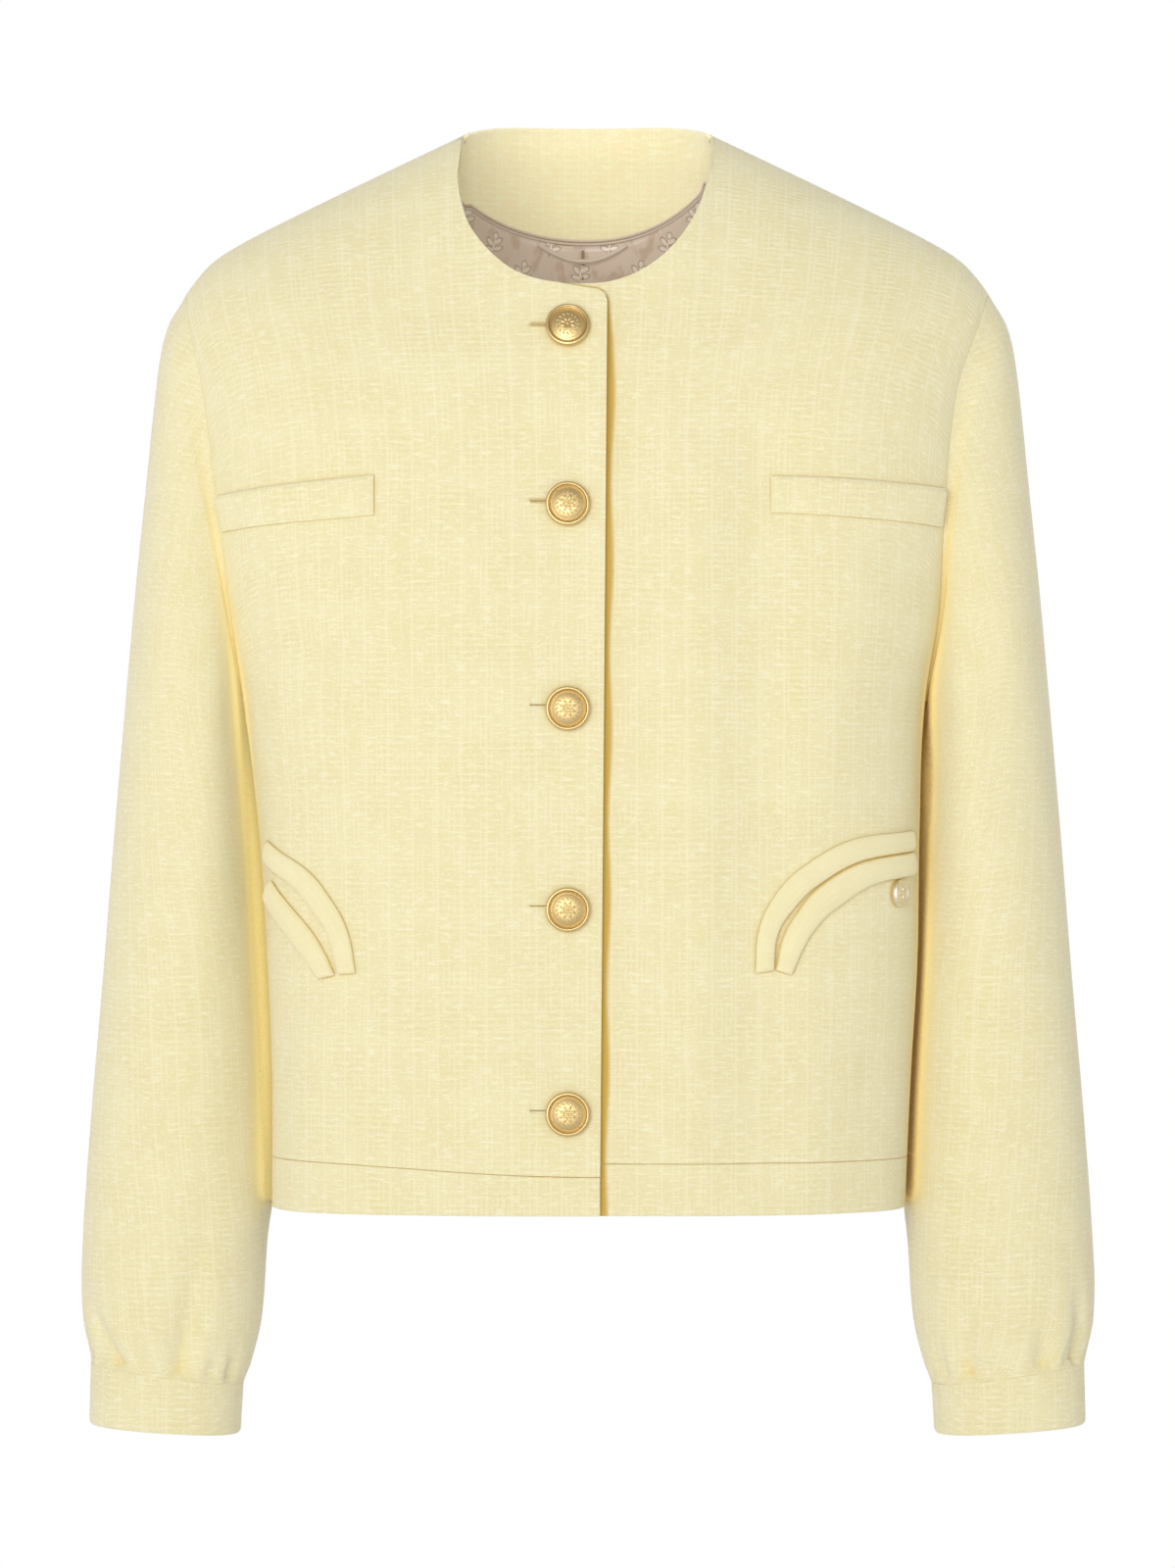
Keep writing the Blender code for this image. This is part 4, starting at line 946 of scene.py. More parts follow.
def round_uv(rings):
    """The flat cut of a tube: distance round each ring, and up each column from the end."""
    wrapped = close_round(rings)
    across = np.linalg.norm(np.diff(wrapped, axis=1), axis=-1)
    across = np.concatenate([np.zeros((len(rings), 1)), np.cumsum(across, axis=1)], axis=1)
    along = np.linalg.norm(np.diff(rings, axis=0), axis=-1)
    along = np.concatenate([np.zeros((1, rings.shape[1])), np.cumsum(along, axis=0)])
    columns = range(-GRAIN_REACH, GRAIN_REACH + 1)
    along = sum(np.roll(along, k, axis=1) for k in columns) / len(columns)
    along = close_round(along)
    middle = across[:, -1:] / 2
    return np.stack([across - middle, along[-1:] - along + wrapped[-1:, :, 2]], axis=-1)


# %% Rings of a sleeve and a cuff
def sleeve_rings(side):
    """Outer points and normals of a sleeve, ring by ring from the armhole to the cuff."""
    points, loop_normals, off = armhole_loop(side)
    start_points = points + off * SEAM_GAP
    turns = 2 * np.pi * np.arange(len(points)) / len(points)
    steps = np.arange(SLEEVE_STEPS * RINGS_IN_STEP + 1) / RINGS_IN_STEP
    share = (steps / SLEEVE_STEPS) ** RING_SPREAD
    frame_of_ring = ring_frame(side, share)
    ovals = oval_points(frame_of_ring, turns)
    blend = (1.0 - ease(share / CAP_BLEND))[:, None, None]
    rings = ovals + (start_points - ovals[0])[None] * blend
    middle = ((frame_of_ring[0] + frame_of_ring[1]) / 2)[:, None]
    above_cuff = (1.0 - share) * (SLEEVE_TOP - SLEEVE_END_OUTER)
    rings = rings - unit(rings - middle) * gather_depth(side, turns, above_cuff)[..., None]
    girth = np.linalg.norm(np.roll(rings, -1, axis=1) - rings, axis=-1).cumsum(axis=1)
    soft = relief(SLEEVE_FOLDS[side], girth, rings[..., 2])
    fade = ease((share - SLEEVE_FOLD_START[0]) / SLEEVE_FOLD_START[1])
    fade = fade * ease(above_cuff / SLEEVE_FOLD_END)
    rings = rings + unit(rings - middle) * (soft * fade[:, None])[..., None]
    rings = keep_clear(side, rings)
    top = ((1.0 - np.cos(turns)) / 2)[:, None]
    sideways = np.array([side * HEAD_SIDEWAYS, 0.0, 0.0]) * (1.0 - top)
    onwards = unit(off * mix(HEAD_ONWARDS, 1.0, top) + sideways)
    head = HEAD_LIFT * np.sin(np.pi * np.sqrt(np.clip(share / HEAD_END, 0.0, 1.0)))
    rings = rings + onwards[None] * head[:, None, None]
    rings[0] = start_points
    normals = ring_normals(rings)
    near = ease(share / SEAM_NORMAL_SHARE)[:, None, None]
    normals = unit(mix(loop_normals[None], normals, near))
    return rings, normals


def cuff_rings(side, count):
    """Outer points of the straight band at the end of a sleeve."""
    down = 1.0 - (1.0 - np.linspace(0.0, 1.0, CUFF_ROWS + 1)) ** CUFF_CROWDING
    outer, inner, front, back = ring_frame(side, np.ones(CUFF_ROWS + 1))
    outer[:, 2] = mix(CUFF_TOP_OUTER, CUFF_END_OUTER, down)
    inner[:, 2] = mix(CUFF_TOP_INNER, CUFF_END_INNER, down)
    outer[:, 0] += side * CUFF_FLARE_OUTER * down
    inner[:, 0] += side * CUFF_FLARE_INNER * down
    length = CUFF_TOP_OUTER - CUFF_END_OUTER
    into_roll = np.clip(1.0 - (1.0 - down) * length / CUFF_ROLL, 0.0, 1.0)
    rolled = CUFF_ROLL * (1.0 - np.sqrt(1.0 - into_roll**2)) * CUFF_ROLL_IN
    outer[:, 0] -= side * rolled
    inner[:, 0] += side * rolled
    turns = 2 * np.pi * np.arange(count) / count
    return oval_points((outer, inner, front - rolled, back - rolled), turns)


# %% Sleeves and cuffs
for side, name in ((-1, "right"), (1, "left")):
    rings, normals = sleeve_rings(side)
    made = wall("sleeve " + name, rings, rings - normals * TWEED, round_uv(rings), closed=True)
    PIECES["sleeve " + name] = round_edges(made, width=TUBE_ROUNDING)
    rings = cuff_rings(side, rings.shape[1])
    inner = rings - ring_normals(rings) * CUFF_CLOTH
    made = wall("cuff " + name, rings, inner, round_uv(rings), closed=True)
    PIECES["cuff " + name] = round_edges(made, width=TUBE_ROUNDING)
    print("sleeve", name, len(PIECES["sleeve " + name].data.polygons), "faces")

# %% [markdown]
# ## The inside of the back neck
# Looking in at the neck, a tweed facing lines the top of the back. A double
# satin piping is sewn along its curved lower edge, and the satin lining hangs
# below. All of them are layers inside the back, so they are taken from the
# back's own points, moved in. The lining has a pleat beside the centre back for
# ease, caught down with a bar tack.

# %% Neck measures
FACING_DEPTH = 0.0465
FACING_LIFT_RIGHT = 0.0544
FACING_LIFT_LEFT = 0.0765
FACING_END = 0.105
FACING_LEVEL = 0.074
FACING_POWER = 2.2
FACING_ROWS = 24
EDGE_EASE = 4
FACING_EASE = 0.014
FACING_EDGE_ROUNDS = 5
FACING_ROUNDING = 0.0005
ROUND_THE_BACK = 1.06
FACING_TOP_LIFT = 0.0021
PIPING_RADIUS = 0.0012
CORD_RADIUS = 0.00075
CORD_SPACING = 0.00085
LINING_ROWS = 110
LINING_END = -0.516
LINING_INSET = 0.15
LINING_SHOULDER_DROP = 0.005
LINING_FULLNESS = 0.0008
LINING_COLUMNS = 170
LINING_CROWDING = 0.8
LOOSE_START = -0.05
LOOSE_FADE = 0.02
WAVE_ACROSS = 0.0085
WAVE_SWAY = 2.0
WAVE_SWAY_HEIGHT = 0.045
WAVE_HEIGHT = 0.021
WAVE_SLANT = 0.03
PLEAT_FOLD_X = -0.0187
PLEAT_SEAM_X = -0.002
PLEAT_RISE = 0.0015
PLEAT_FOLD_WIDTH = 0.0006
PLEAT_SEAM_FADE = 0.012
PLEAT_COLUMNS = (-12.0, 2.0, 57)
LOOP_COLUMNS = 1.25
LOOP_DROP = 0.0055
LOOP_STAND = 0.003
LOOP_STEPS = 60
LOOP_RADIUS = 0.0012
LOOP_SIDES = 16
TUBE_SIDES = 12
TUBE_GUIDE = (0.0, 1.0, 0.3)

BACK_SKIN = cloth_point(1, True, BACK_NET[..., 0], BACK_NET[..., 1], 0.0)
BACK_NORMALS = torso_normal(True, BACK_NET[..., 0], BACK_NET[..., 1])


# %% Layers inside the back
def back_column(grid, column):
    """One column of a grid; the column may be a fraction."""
    i = min(int(column), grid.shape[1] - 2)
    return mix(grid[:, i], grid[:, i + 1], column - i)


def inside_back(columns, heights, depth):
    """Points inside the back on its columns; heights and depths are rows of values."""
    rows = np.arange(BACK_SKIN.shape[0])
    depth = np.broadcast_to(depth, heights.shape)
    made = np.empty(heights.shape + (3,))
    for k, column in enumerate(columns):
        skin = back_column(BACK_SKIN, column)
        normals = back_column(BACK_NORMALS, column)
        at = np.interp(heights[:, k], skin[:, 2], rows)
        for axis in range(3):
            moved = skin[:, axis]
            made[:, k, axis] = np.interp(at, rows, moved)
            made[:, k, axis] -= depth[:, k] * np.interp(at, rows, normals[:, axis])
    return made


def top_heights(columns):
    return np.array([back_column(BACK_SKIN, column)[-1, 2] for column in columns])


def facing_edge(columns):
    """Height at which each column of the back crosses the facing's lower edge."""
    heights = np.full((1, len(columns)), -FACING_DEPTH)
    for _ in range(FACING_EDGE_ROUNDS):
        x = inside_back(columns, heights, 0.0)[..., 0]
        lift = np.where(x < 0, FACING_LIFT_RIGHT, FACING_LIFT_LEFT)
        share = np.minimum(np.abs(x), FACING_LEVEL) / FACING_END
        heights = -FACING_DEPTH + lift * share**FACING_POWER
    return heights[0]


def layer(name, columns, low, high, depth, thickness, row_count):
    """A thin layer inside the back between two heights on each column."""
    share = np.linspace(0.0, 1.0, row_count + 1)[:, None]
    heights = mix(low[None], high[None], share)
    depth = depth(high[None] - heights)
    outer = inside_back(columns, heights, depth)
    inner = inside_back(columns, heights, depth + thickness)
    for face in (outer, inner):
        face[..., 2] += FACING_TOP_LIFT * (1.0 - ease((high[None] - heights) / FACING_EASE))
    uv = np.stack([outer[..., 0] * ROUND_THE_BACK, heights], axis=-1)
    return wall(name, outer, inner, uv, inner_slot=0)


def tube(name, points, radius, sides=TUBE_SIDES):
    """A round cord through points, with closed ends."""
    points = np.asarray(points)
    along = unit(np.gradient(points, axis=0))
    first = np.cross(along[0], TUBE_GUIDE)
    normals = [first / np.linalg.norm(first)]
    for way in along[1:]:
        carried = normals[-1] - way * np.dot(normals[-1], way)
        normals.append(carried / np.linalg.norm(carried))
    normals = np.array(normals)
    sideways = np.cross(along, normals)
    turns = 2 * np.pi * np.arange(sides) / sides
    cosine, sine = np.cos(turns)[None, :, None], np.sin(turns)[None, :, None]
    ring = normals[:, None] * cosine + sideways[:, None] * sine
    radii = np.broadcast_to(radius, (len(points),))
    rings = points[:, None] + ring * radii[:, None, None]
    index = np.arange(rings.shape[0] * sides).reshape(-1, sides)
    faces = grid_quads(close_round(index)).reshape(-1, 4)
    flipped = mesh_volume(rings.reshape(-1, 3), faces) < 0
    caps = [index[0, ::-1].tolist(), index[-1].tolist()]
    if flipped:
        faces = faces[:, ::-1]
        caps = [cap[::-1] for cap in caps]
    data = new_mesh(name, rings.reshape(-1, 3).tolist(), faces.tolist() + caps)
    data.shade_smooth()
    return new_object(name, data)


# %% Facing and piping
LAST_COLUMN = BACK_SKIN.shape[1] - 1
MIDDLE_COLUMN = LAST_COLUMN / 2
first = COLUMNS_ON_SHOULDER - REFINE
columns = np.arange(first, LAST_COLUMN - first + 1)
padded = np.pad(facing_edge(columns), EDGE_EASE, mode="edge")
edge = np.convolve(padded, np.ones(2 * EDGE_EASE + 1), "valid") / (2 * EDGE_EASE + 1)


def facing_depth(below_top):
    """How deep the facing lies: close behind the neck edge, and looser below it."""
    return TWEED + mix(LAYER_GAP, FACING_GAP, ease(below_top / FACING_EASE))


tops = top_heights(columns)
made = layer("back neck facing", columns, edge, tops, facing_depth, FACING_CLOTH, FACING_ROWS)
PIECES["back neck facing"] = round_edges(made, width=FACING_ROUNDING)

piping_depth = TWEED + FACING_GAP + PIPING_RADIUS
for number, shift in ((1, 1.0), (2, -1.0)):
    heights = edge - PIPING_RADIUS - LAYER_GAP + shift * CORD_SPACING
    points = inside_back(columns, heights[None], piping_depth)[0]
    PIECES["piping %d" % number] = tube("lining piping %d" % number, points, CORD_RADIUS)


# %% Lining and hanger loop
def lining_depth(x, z):
    """How deep the lining lies, with its pleat and its soft loose waves."""
    pleat = ease((x - PLEAT_FOLD_X) / PLEAT_FOLD_WIDTH + 0.5)
    pleat = pleat * ease((PLEAT_SEAM_X - x) / PLEAT_SEAM_FADE)
    slack = np.sin(x / WAVE_ACROSS + WAVE_SWAY * np.sin(z / WAVE_SWAY_HEIGHT))
    slack = slack * np.sin(z / WAVE_HEIGHT + x / WAVE_SLANT)
    loose = LINING_FULLNESS * (slack + 1.0) * ease((LOOSE_START - z) / LOOSE_FADE)
    return TWEED + LINING_GAP + PLEAT_RISE * pleat + loose


inset = LINING_INSET * REFINE
even = np.linspace(inset, LAST_COLUMN - inset, LINING_COLUMNS)
around_pleat = MIDDLE_COLUMN + np.linspace(*PLEAT_COLUMNS)
columns = np.unique(np.concatenate([even, around_pleat]))
below_piping = facing_edge(columns) - 2 * (PIPING_RADIUS + LAYER_GAP)
high = np.minimum(below_piping, top_heights(columns) - LINING_SHOULDER_DROP)
low = np.full_like(high, LINING_END)
share = np.linspace(0.0, 1.0, LINING_ROWS + 1)[:, None] ** LINING_CROWDING
heights = mix(low[None], high[None], share)
places = inside_back(columns, heights, 0.0)
depth = lining_depth(places[..., 0], heights)
outer = inside_back(columns, heights, depth)
inner = inside_back(columns, heights, depth + LINING_CLOTH)
uv = np.stack([places[..., 0] * ROUND_THE_BACK, heights], axis=-1)
PIECES["lining back"] = wall("back lining", outer, inner, uv, inner_slot=0)

share = np.linspace(0.0, 1.0, LOOP_STEPS + 1)
columns = MIDDLE_COLUMN + REFINE * mix(-LOOP_COLUMNS, LOOP_COLUMNS, share)
arch = np.sin(np.pi * share)
drop = 2 * PIPING_RADIUS + LOOP_RADIUS + 2 * LAYER_GAP + LOOP_DROP * arch
depth = TWEED + LINING_GAP + LINING_CLOTH + LAYER_GAP + LOOP_RADIUS + LOOP_STAND * arch
points = inside_back(columns, (facing_edge(columns) - drop)[None], depth[None])[0]
PIECES["hanger loop"] = tube("hanger loop cord", points, LOOP_RADIUS, sides=LOOP_SIDES)
print("lining", len(PIECES["lining back"].data.polygons), "faces")

# %% [markdown]
# ## Pockets
# Each chest has one flat welt. The hips have curved pockets between two padded
# welts: a strip of tweed folded over wadding, so it stands up half round, tapers
# in at its cut ends, and throws the pocket's mouth into shade.

# %% Pocket measures
ChestWelt = namedtuple("ChestWelt", "inner top_inner top_outer low_inner low_outer")
CHEST_WELTS = {
    -1: ChestWelt(0.1060, -0.1780, -0.1870, -0.1980, -0.2050),
    1: ChestWelt(0.0915, -0.1782, -0.1830, -0.1965, -0.2025),
}
CHEST_WELT_HEIGHT = 0.0023
CHEST_WELT_STAND = (0.55, 1.25)
CHEST_WELT_COLUMNS = 40
CHEST_WELT_ROWS = 16
CHEST_WELT_END = 1.2
CHEST_WELT_EDGE = 0.1
CHEST_WELT_ENDS = 0.025
CHEST_WELT_EDGE_STAND = 0.35
WELT_ROUNDING = 0.0003
ARMHOLE_MARKS = 200

STATION = "share high_girth high_z low_girth low_z"
HIP_WELTS = {
    ("upper", -1): named_rows(
        STATION,
        (0.00, 0.1185, -0.4257, 0.1280, -0.4263),
        (0.25, 0.1229, -0.4057, 0.1333, -0.4092),
        (0.50, 0.1327, -0.3897, 0.1417, -0.3971),
        (0.75, 0.1503, -0.3736, 0.1590, -0.3822),
        (1.00, 0.1850, -0.3600, 0.1890, -0.3705),
    ),
    ("lower", -1): named_rows(
        STATION,
        (0.00, 0.1304, -0.4268, 0.1402, -0.4289),
        (0.25, 0.1368, -0.4156, 0.1488, -0.4190),
        (0.50, 0.1460, -0.4045, 0.1588, -0.4108),
        (0.75, 0.1603, -0.3934, 0.1712, -0.4020),
        (1.00, 0.1820, -0.3800, 0.1930, -0.3896),
    ),
    ("upper", 1): named_rows(
        STATION,
        (0.00, 0.0844, -0.4254, 0.0937, -0.4242),
        (0.20, 0.0857, -0.4059, 0.0952, -0.4079),
        (0.40, 0.0927, -0.3896, 0.1016, -0.3961),
        (0.60, 0.1083, -0.3730, 0.1160, -0.3818),
        (0.80, 0.1375, -0.3590, 0.1423, -0.3695),
        (1.00, 0.1880, -0.3550, 0.1892, -0.3648),
    ),
    ("lower", 1): named_rows(
        STATION,
        (0.00, 0.0948, -0.4240, 0.1026, -0.4265),
        (0.20, 0.0979, -0.4097, 0.1078, -0.4146),
        (0.40, 0.1040, -0.3979, 0.1140, -0.4045),
        (0.60, 0.1170, -0.3829, 0.1254, -0.3940),
        (0.80, 0.1432, -0.3704, 0.1512, -0.3812),
        (1.00, 0.1893, -0.3656, 0.1925, -0.3772),
    ),
}
HIP_WELT_HEIGHT = 0.0034
HIP_WELT_EDGE = 0.0004
HIP_WELT_POWER = 0.8
HIP_WELT_STEPS = 72
HIP_WELT_SIDES = 16
HIP_WELT_TAPER = 0.035
HIP_WELT_END_STAND = 0.45


# %% Pocket welts
def armhole_angle_at(side, z):
    """The front armhole's angle at each height."""
    places = armhole_places(side, False, ARMHOLE_MARKS)
    order = np.argsort(places[:, 1])
    return np.interp(z, places[order, 1], np.abs(places[order, 0]))


def welt(name, side, angle, z, lift):
    """A raised strip over a front, from its underside up to a lift above the cloth."""
    outer = cloth_point(side, False, angle, z, -lift)
    inner = cloth_point(side, False, angle, z, np.full_like(z, -WELT_LIFT))
    across = distances_along(outer[:, outer.shape[1] // 2])
    along = distances_along(outer[outer.shape[0] // 2])
    uv = np.stack(np.broadcast_arrays(along[None], across[:, None]), axis=-1)
    return wall(name, outer, inner, uv, inner_slot=0)


def chest_welt(side, name):
    """A flat strip from its inner end to the armhole, a little fuller at the top."""
    shape = CHEST_WELTS[side]
    across = np.linspace(0.0, 1.0, CHEST_WELT_ROWS + 1)[:, None]
    share = np.linspace(0.0, 1.0, CHEST_WELT_COLUMNS + 1)[None]
    low = mix(shape.low_inner, shape.low_outer, share)
    top = mix(shape.top_inner, shape.top_outer, share)
    z = mix(low, top, across)
    start = np.abs(angle_at(side * shape.inner, z))
    stop = armhole_angle_at(side, z) - CHEST_WELT_END
    rounded = ease(across / CHEST_WELT_EDGE) * ease((1 - across) / CHEST_WELT_EDGE)
    ends = ease(share / CHEST_WELT_ENDS) * ease((1 - share) / CHEST_WELT_ENDS)
    stand = CHEST_WELT_HEIGHT * mix(*CHEST_WELT_STAND, across)
    lift = WELT_LIFT + stand * mix(CHEST_WELT_EDGE_STAND, 1.0, np.minimum(rounded, ends))
    return welt(name, side, side * mix(start, stop, share), z, lift)


EDGES = ("high_", "low_")


def hip_welt(side, kind, name):
    """A padded strip between two curved edges, half round and tapered at its ends."""
    over = np.cos(np.pi * np.arange(HIP_WELT_SIDES + 1) / HIP_WELT_SIDES)[:, None]
    share = np.linspace(0.0, 1.0, HIP_WELT_STEPS + 1)[None]
    places = []
    for axis in ("girth", "z"):
        high, low = (read_curve(HIP_WELTS[kind, side], edge + axis, share) for edge in EDGES)
        places.append(mix(high, low, (1.0 - over) / 2))
    girth, z = places
    rise = np.sqrt(np.maximum(1.0 - over * over, 0.0)) ** HIP_WELT_POWER
    ends = ease(share / HIP_WELT_TAPER) * ease((1 - share) / HIP_WELT_TAPER)
    taper = mix(HIP_WELT_END_STAND, 1.0, np.sqrt(ends))
    lift = WELT_LIFT + HIP_WELT_EDGE + HIP_WELT_HEIGHT * rise * taper
    return welt(name, side, angle_at_girth(side, girth, z), z, lift)


# %% Sew the welts on
SIDE_NAMES = {-1: "right", 1: "left"}
for side in (-1, 1):
    name = "chest welt " + SIDE_NAMES[side]
    PIECES[name] = round_edges(chest_welt(side, name + " cloth"), width=WELT_ROUNDING)
for kind, side in HIP_WELTS:
    name = "pocket welt %s %s" % (kind, SIDE_NAMES[side])
    PIECES[name] = hip_welt(side, kind, name + " cloth")
print("pocket welts", len(PIECES["pocket welt upper left"].data.polygons), "faces each")

# %% [markdown]
# ## Buttonholes
# A coat buttonhole is a keyhole: a slot with a round eye where the shank rests.
# It is cut through the right front, then its edge is worked with close stitches.
# The same holes are cut here with one Boolean, after the panel is rounded.

# %% Buttonhole measures and seats
BUTTON_HEIGHTS = (-0.1040, -0.1928, -0.2940, -0.3936, -0.4951)
HOLE_LENGTH = 0.0187
HOLE_WIDTH = 0.0005
HOLE_RISE = 0.0017
HOLE_EYE = 0.0021
HOLE_EYE_SIDES = 14
CUTTER_REACH = 0.006
STITCH_SPACING = 0.00062
STITCH_LENGTH = 0.0012
STITCH_OVERHANG = 0.4
THREAD = 0.00048


def seat_on_front(side, x, z):
    """A frame on a front: its Z out of the cloth and its X level across it."""
    angle = angle_at(np.array(x), np.array(z))
    point = Vector(cloth_point(side, False, angle, np.array(z), 0.0))
    normal = Vector(torso_normal(False, angle, np.array(z)))
    across = Vector((0.0, 0.0, 1.0)).cross(normal).normalized()
    turn = Matrix((across, normal.cross(across), normal)).transposed().to_4x4()
    return Matrix.Translation(point) @ turn


def hole_outline(steps_along=1):
    """The keyhole's outline in its seat: round the eye, out along the slot and back."""
    low, high = HOLE_RISE - HOLE_WIDTH / 2, HOLE_RISE + HOLE_WIDTH / 2
    start = math.pi - math.asin(high / HOLE_EYE)
    end = -math.pi - math.asin(low / HOLE_EYE)
    outline = []
    for i in range(HOLE_EYE_SIDES + 1):
        turn = mix(start, end, i / HOLE_EYE_SIDES)
        outline.append((HOLE_EYE * math.cos(turn), HOLE_EYE * math.sin(turn)))
    neck_high, neck_low = outline[0][0], outline[-1][0]
    for i in range(1, steps_along + 1):
        outline.append((mix(neck_low, -HOLE_LENGTH, i / steps_along), low))
    for i in range(steps_along):
        outline.append((mix(-HOLE_LENGTH, neck_high, i / steps_along), high))
    return outline


BUTTON_SEATS = [seat_on_front(-1, BUTTON_LINE, height) for height in BUTTON_HEIGHTS]

# %% Cut the buttonholes
cuts = bmesh.new()
for seat in BUTTON_SEATS:
    outline = [seat @ Vector((x, y, -CUTTER_REACH)) for x, y in hole_outline()]
    face = cuts.faces.new([cuts.verts.new(corner) for corner in outline])
    grown = bmesh.ops.extrude_face_region(cuts, geom=[face])["geom"]
    risen = [item for item in grown if isinstance(item, bmesh.types.BMVert)]
    outwards = seat.to_3x3() @ Vector((0, 0, 2 * CUTTER_REACH))
    bmesh.ops.translate(cuts, vec=outwards, verts=risen)
bmesh.ops.recalc_face_normals(cuts, faces=cuts.faces)
cutter = new_object("buttonhole cutter", mesh_of("buttonhole cutter", cuts))
front = PIECES["front right"]
cut = front.modifiers.new("buttonholes", "BOOLEAN")
cut.object = cutter
cut.operation = "DIFFERENCE"
cut.solver = "EXACT"
settle(front)
bpy.data.objects.remove(cutter, do_unlink=True)
print("front right with buttonholes:", len(front.data.polygons), "faces")

# %% [markdown]
# ## Stitches
# Thread is a repeat, so one Geometry Nodes tree makes every kind of stitch here.
# It takes points that know which way their stitch lies and which way is out of
# the cloth, and sets a plump thread on each, with slight differences in size.

# %% Node helpers
def connect(tree, socket, value):
    """Sets a socket to a number or colour, or links it to another node's output."""
    if isinstance(value, bpy.types.NodeSocket):
        tree.links.new(value, socket)
    else:
        socket.default_value = value


def add_node(tree, kind, settings=None, **inputs):
    """A node with its settings and inputs; a socket's name has _ for a space here."""
    made = tree.nodes.new(kind)
    for key, value in (settings or {}).items():
        setattr(made, key, value)
    for key, value in inputs.items():
        connect(tree, made.inputs[key.replace("_", " ")], value)
    return made


# %% Which way a stitch lies
def stitch_turn(tree):
    """The turn that lays a stitch along its way, with its top out of the cloth."""
    turned = None
    for axis, name in (("X", "way"), ("Z", "out")):
        kind = {"data_type": "FLOAT_VECTOR"}
        stored = add_node(tree, "GeometryNodeInputNamedAttribute", kind, Name=name).outputs
        pivot = {"axis": axis, "pivot_axis": "X" if turned else "AUTO"}
        along = stored["Attribute"]
        align = add_node(tree, "FunctionNodeAlignRotationToVector", pivot, Vector=along)
        if turned:
            connect(tree, align.inputs["Rotation"], turned)
        turned = align.outputs["Rotation"]
    return turned


# %% The stitch tree
STITCH_BEAD = {"Segments": 8, "Rings": 5, "Radius": 0.5}
STITCH_SIZES = (0.88, 1.12)
STITCH_SEED = 7
FLOAT, GEOMETRY = "NodeSocketFloat", "NodeSocketGeometry"
STITCH_SOCKETS = (
    ("Geometry", "INPUT", GEOMETRY),
    ("Stitch length", "INPUT", FLOAT),
    ("Thread thickness", "INPUT", FLOAT),
    ("Thread", "INPUT", "NodeSocketMaterial"),
    ("Geometry", "OUTPUT", GEOMETRY),
)


def stitch_tree():
    """Points in, a thread of the given length and thickness on each out."""
    tree = bpy.data.node_groups.new("stitches on points", "GeometryNodeTree")
    for name, way, kind in STITCH_SOCKETS:
        tree.interface.new_socket(name, in_out=way, socket_type=kind)
    given = add_node(tree, "NodeGroupInput").outputs
    thick = given["Thread thickness"]
    size = add_node(tree, "ShaderNodeCombineXYZ", X=given["Stitch length"], Y=thick, Z=thick)
    uneven = add_node(tree, "FunctionNodeRandomValue", {"data_type": "FLOAT"}, Seed=STITCH_SEED)
    # The least and the most of a plain number are this node's sockets 2 and 3.
    uneven.inputs[2].default_value, uneven.inputs[3].default_value = STITCH_SIZES
    scale = add_node(tree, "ShaderNodeVectorMath", {"operation": "SCALE"}, Scale=uneven.outputs[1])
    connect(tree, scale.inputs[0], size.outputs[0])
    bead = add_node(tree, "GeometryNodeMeshUVSphere", **STITCH_BEAD)
    place = add_node(tree, "GeometryNodeInstanceOnPoints", Points=given["Geometry"])
    for name, value in (
        ("Instance", bead.outputs["Mesh"]),
        ("Rotation", stitch_turn(tree)),
        ("Scale", scale.outputs[0]),
    ):
        connect(tree, place.inputs[name], value)
    made = add_node(tree, "GeometryNodeRealizeInstances", Geometry=place.outputs["Instances"])
    made = add_node(tree, "GeometryNodeSetShadeSmooth", Geometry=made.outputs[0])
    paint = {"Geometry": made.outputs[0], "Material": given["Thread"]}
    made = add_node(tree, "GeometryNodeSetMaterial", **paint)
    add_node(tree, "NodeGroupOutput", Geometry=made.outputs[0])
    return tree


STITCHES = stitch_tree()


def sew(name, points, ways, outs, length, thickness, thread):
    """Stitches at points, each lying along its way, as one mesh."""
    data = new_mesh(name, [tuple(p) for p in points], [])
    for label, vectors in (("way", ways), ("out", outs)):
        stored = data.attributes.new(label, "FLOAT_VECTOR", "POINT")
        stored.data.foreach_set("vector", np.asarray([tuple(v) for v in vectors]).ravel())
    made = new_object(name, data)
    nodes = made.modifiers.new("stitches", "NODES")
    nodes.node_group = STITCHES
    values = {"Stitch length": length, "Thread thickness": thickness, "Thread": thread}
    for socket in STITCHES.interface.items_tree:
        if socket.in_out == "INPUT" and socket.name in values:
            nodes[socket.identifier] = values[socket.name]
    return settle(made)


# %% [markdown]
# ## Materials
# The tweed is a loose basket weave in pale yellow: patches of short level ribs,
# columns of upright threads, and lighter slubs that catch the light. Each is a
# wave or a stretched noise in the cut's own metres, from the UV map, so threads
# keep their size on every piece. Fine fibres scatter light at the edges, which
# the sheen gives. In narrow places cloth lights cloth, and turns golden; here
# that is painted. Ambient occlusion says how closed in a place is, and sets a
# painted warm shade in the colour and a low glow of painted bounced light.


# %% Sums and waves with nodes
def calc(tree, operation, *values):
    """The result of a math node."""
    made = tree.nodes.new("ShaderNodeMath")
    made.operation = operation
    for socket, value in zip(made.inputs, values):
        connect(tree, socket, value)
    return made.outputs[0]


def wave(tree, distance, period, shift=0.0):
    """A sine wave from -1 to 1 along a distance."""
    turned = calc(tree, "MULTIPLY_ADD", distance, 2 * math.pi / period, shift)
    return calc(tree, "SINE", turned)


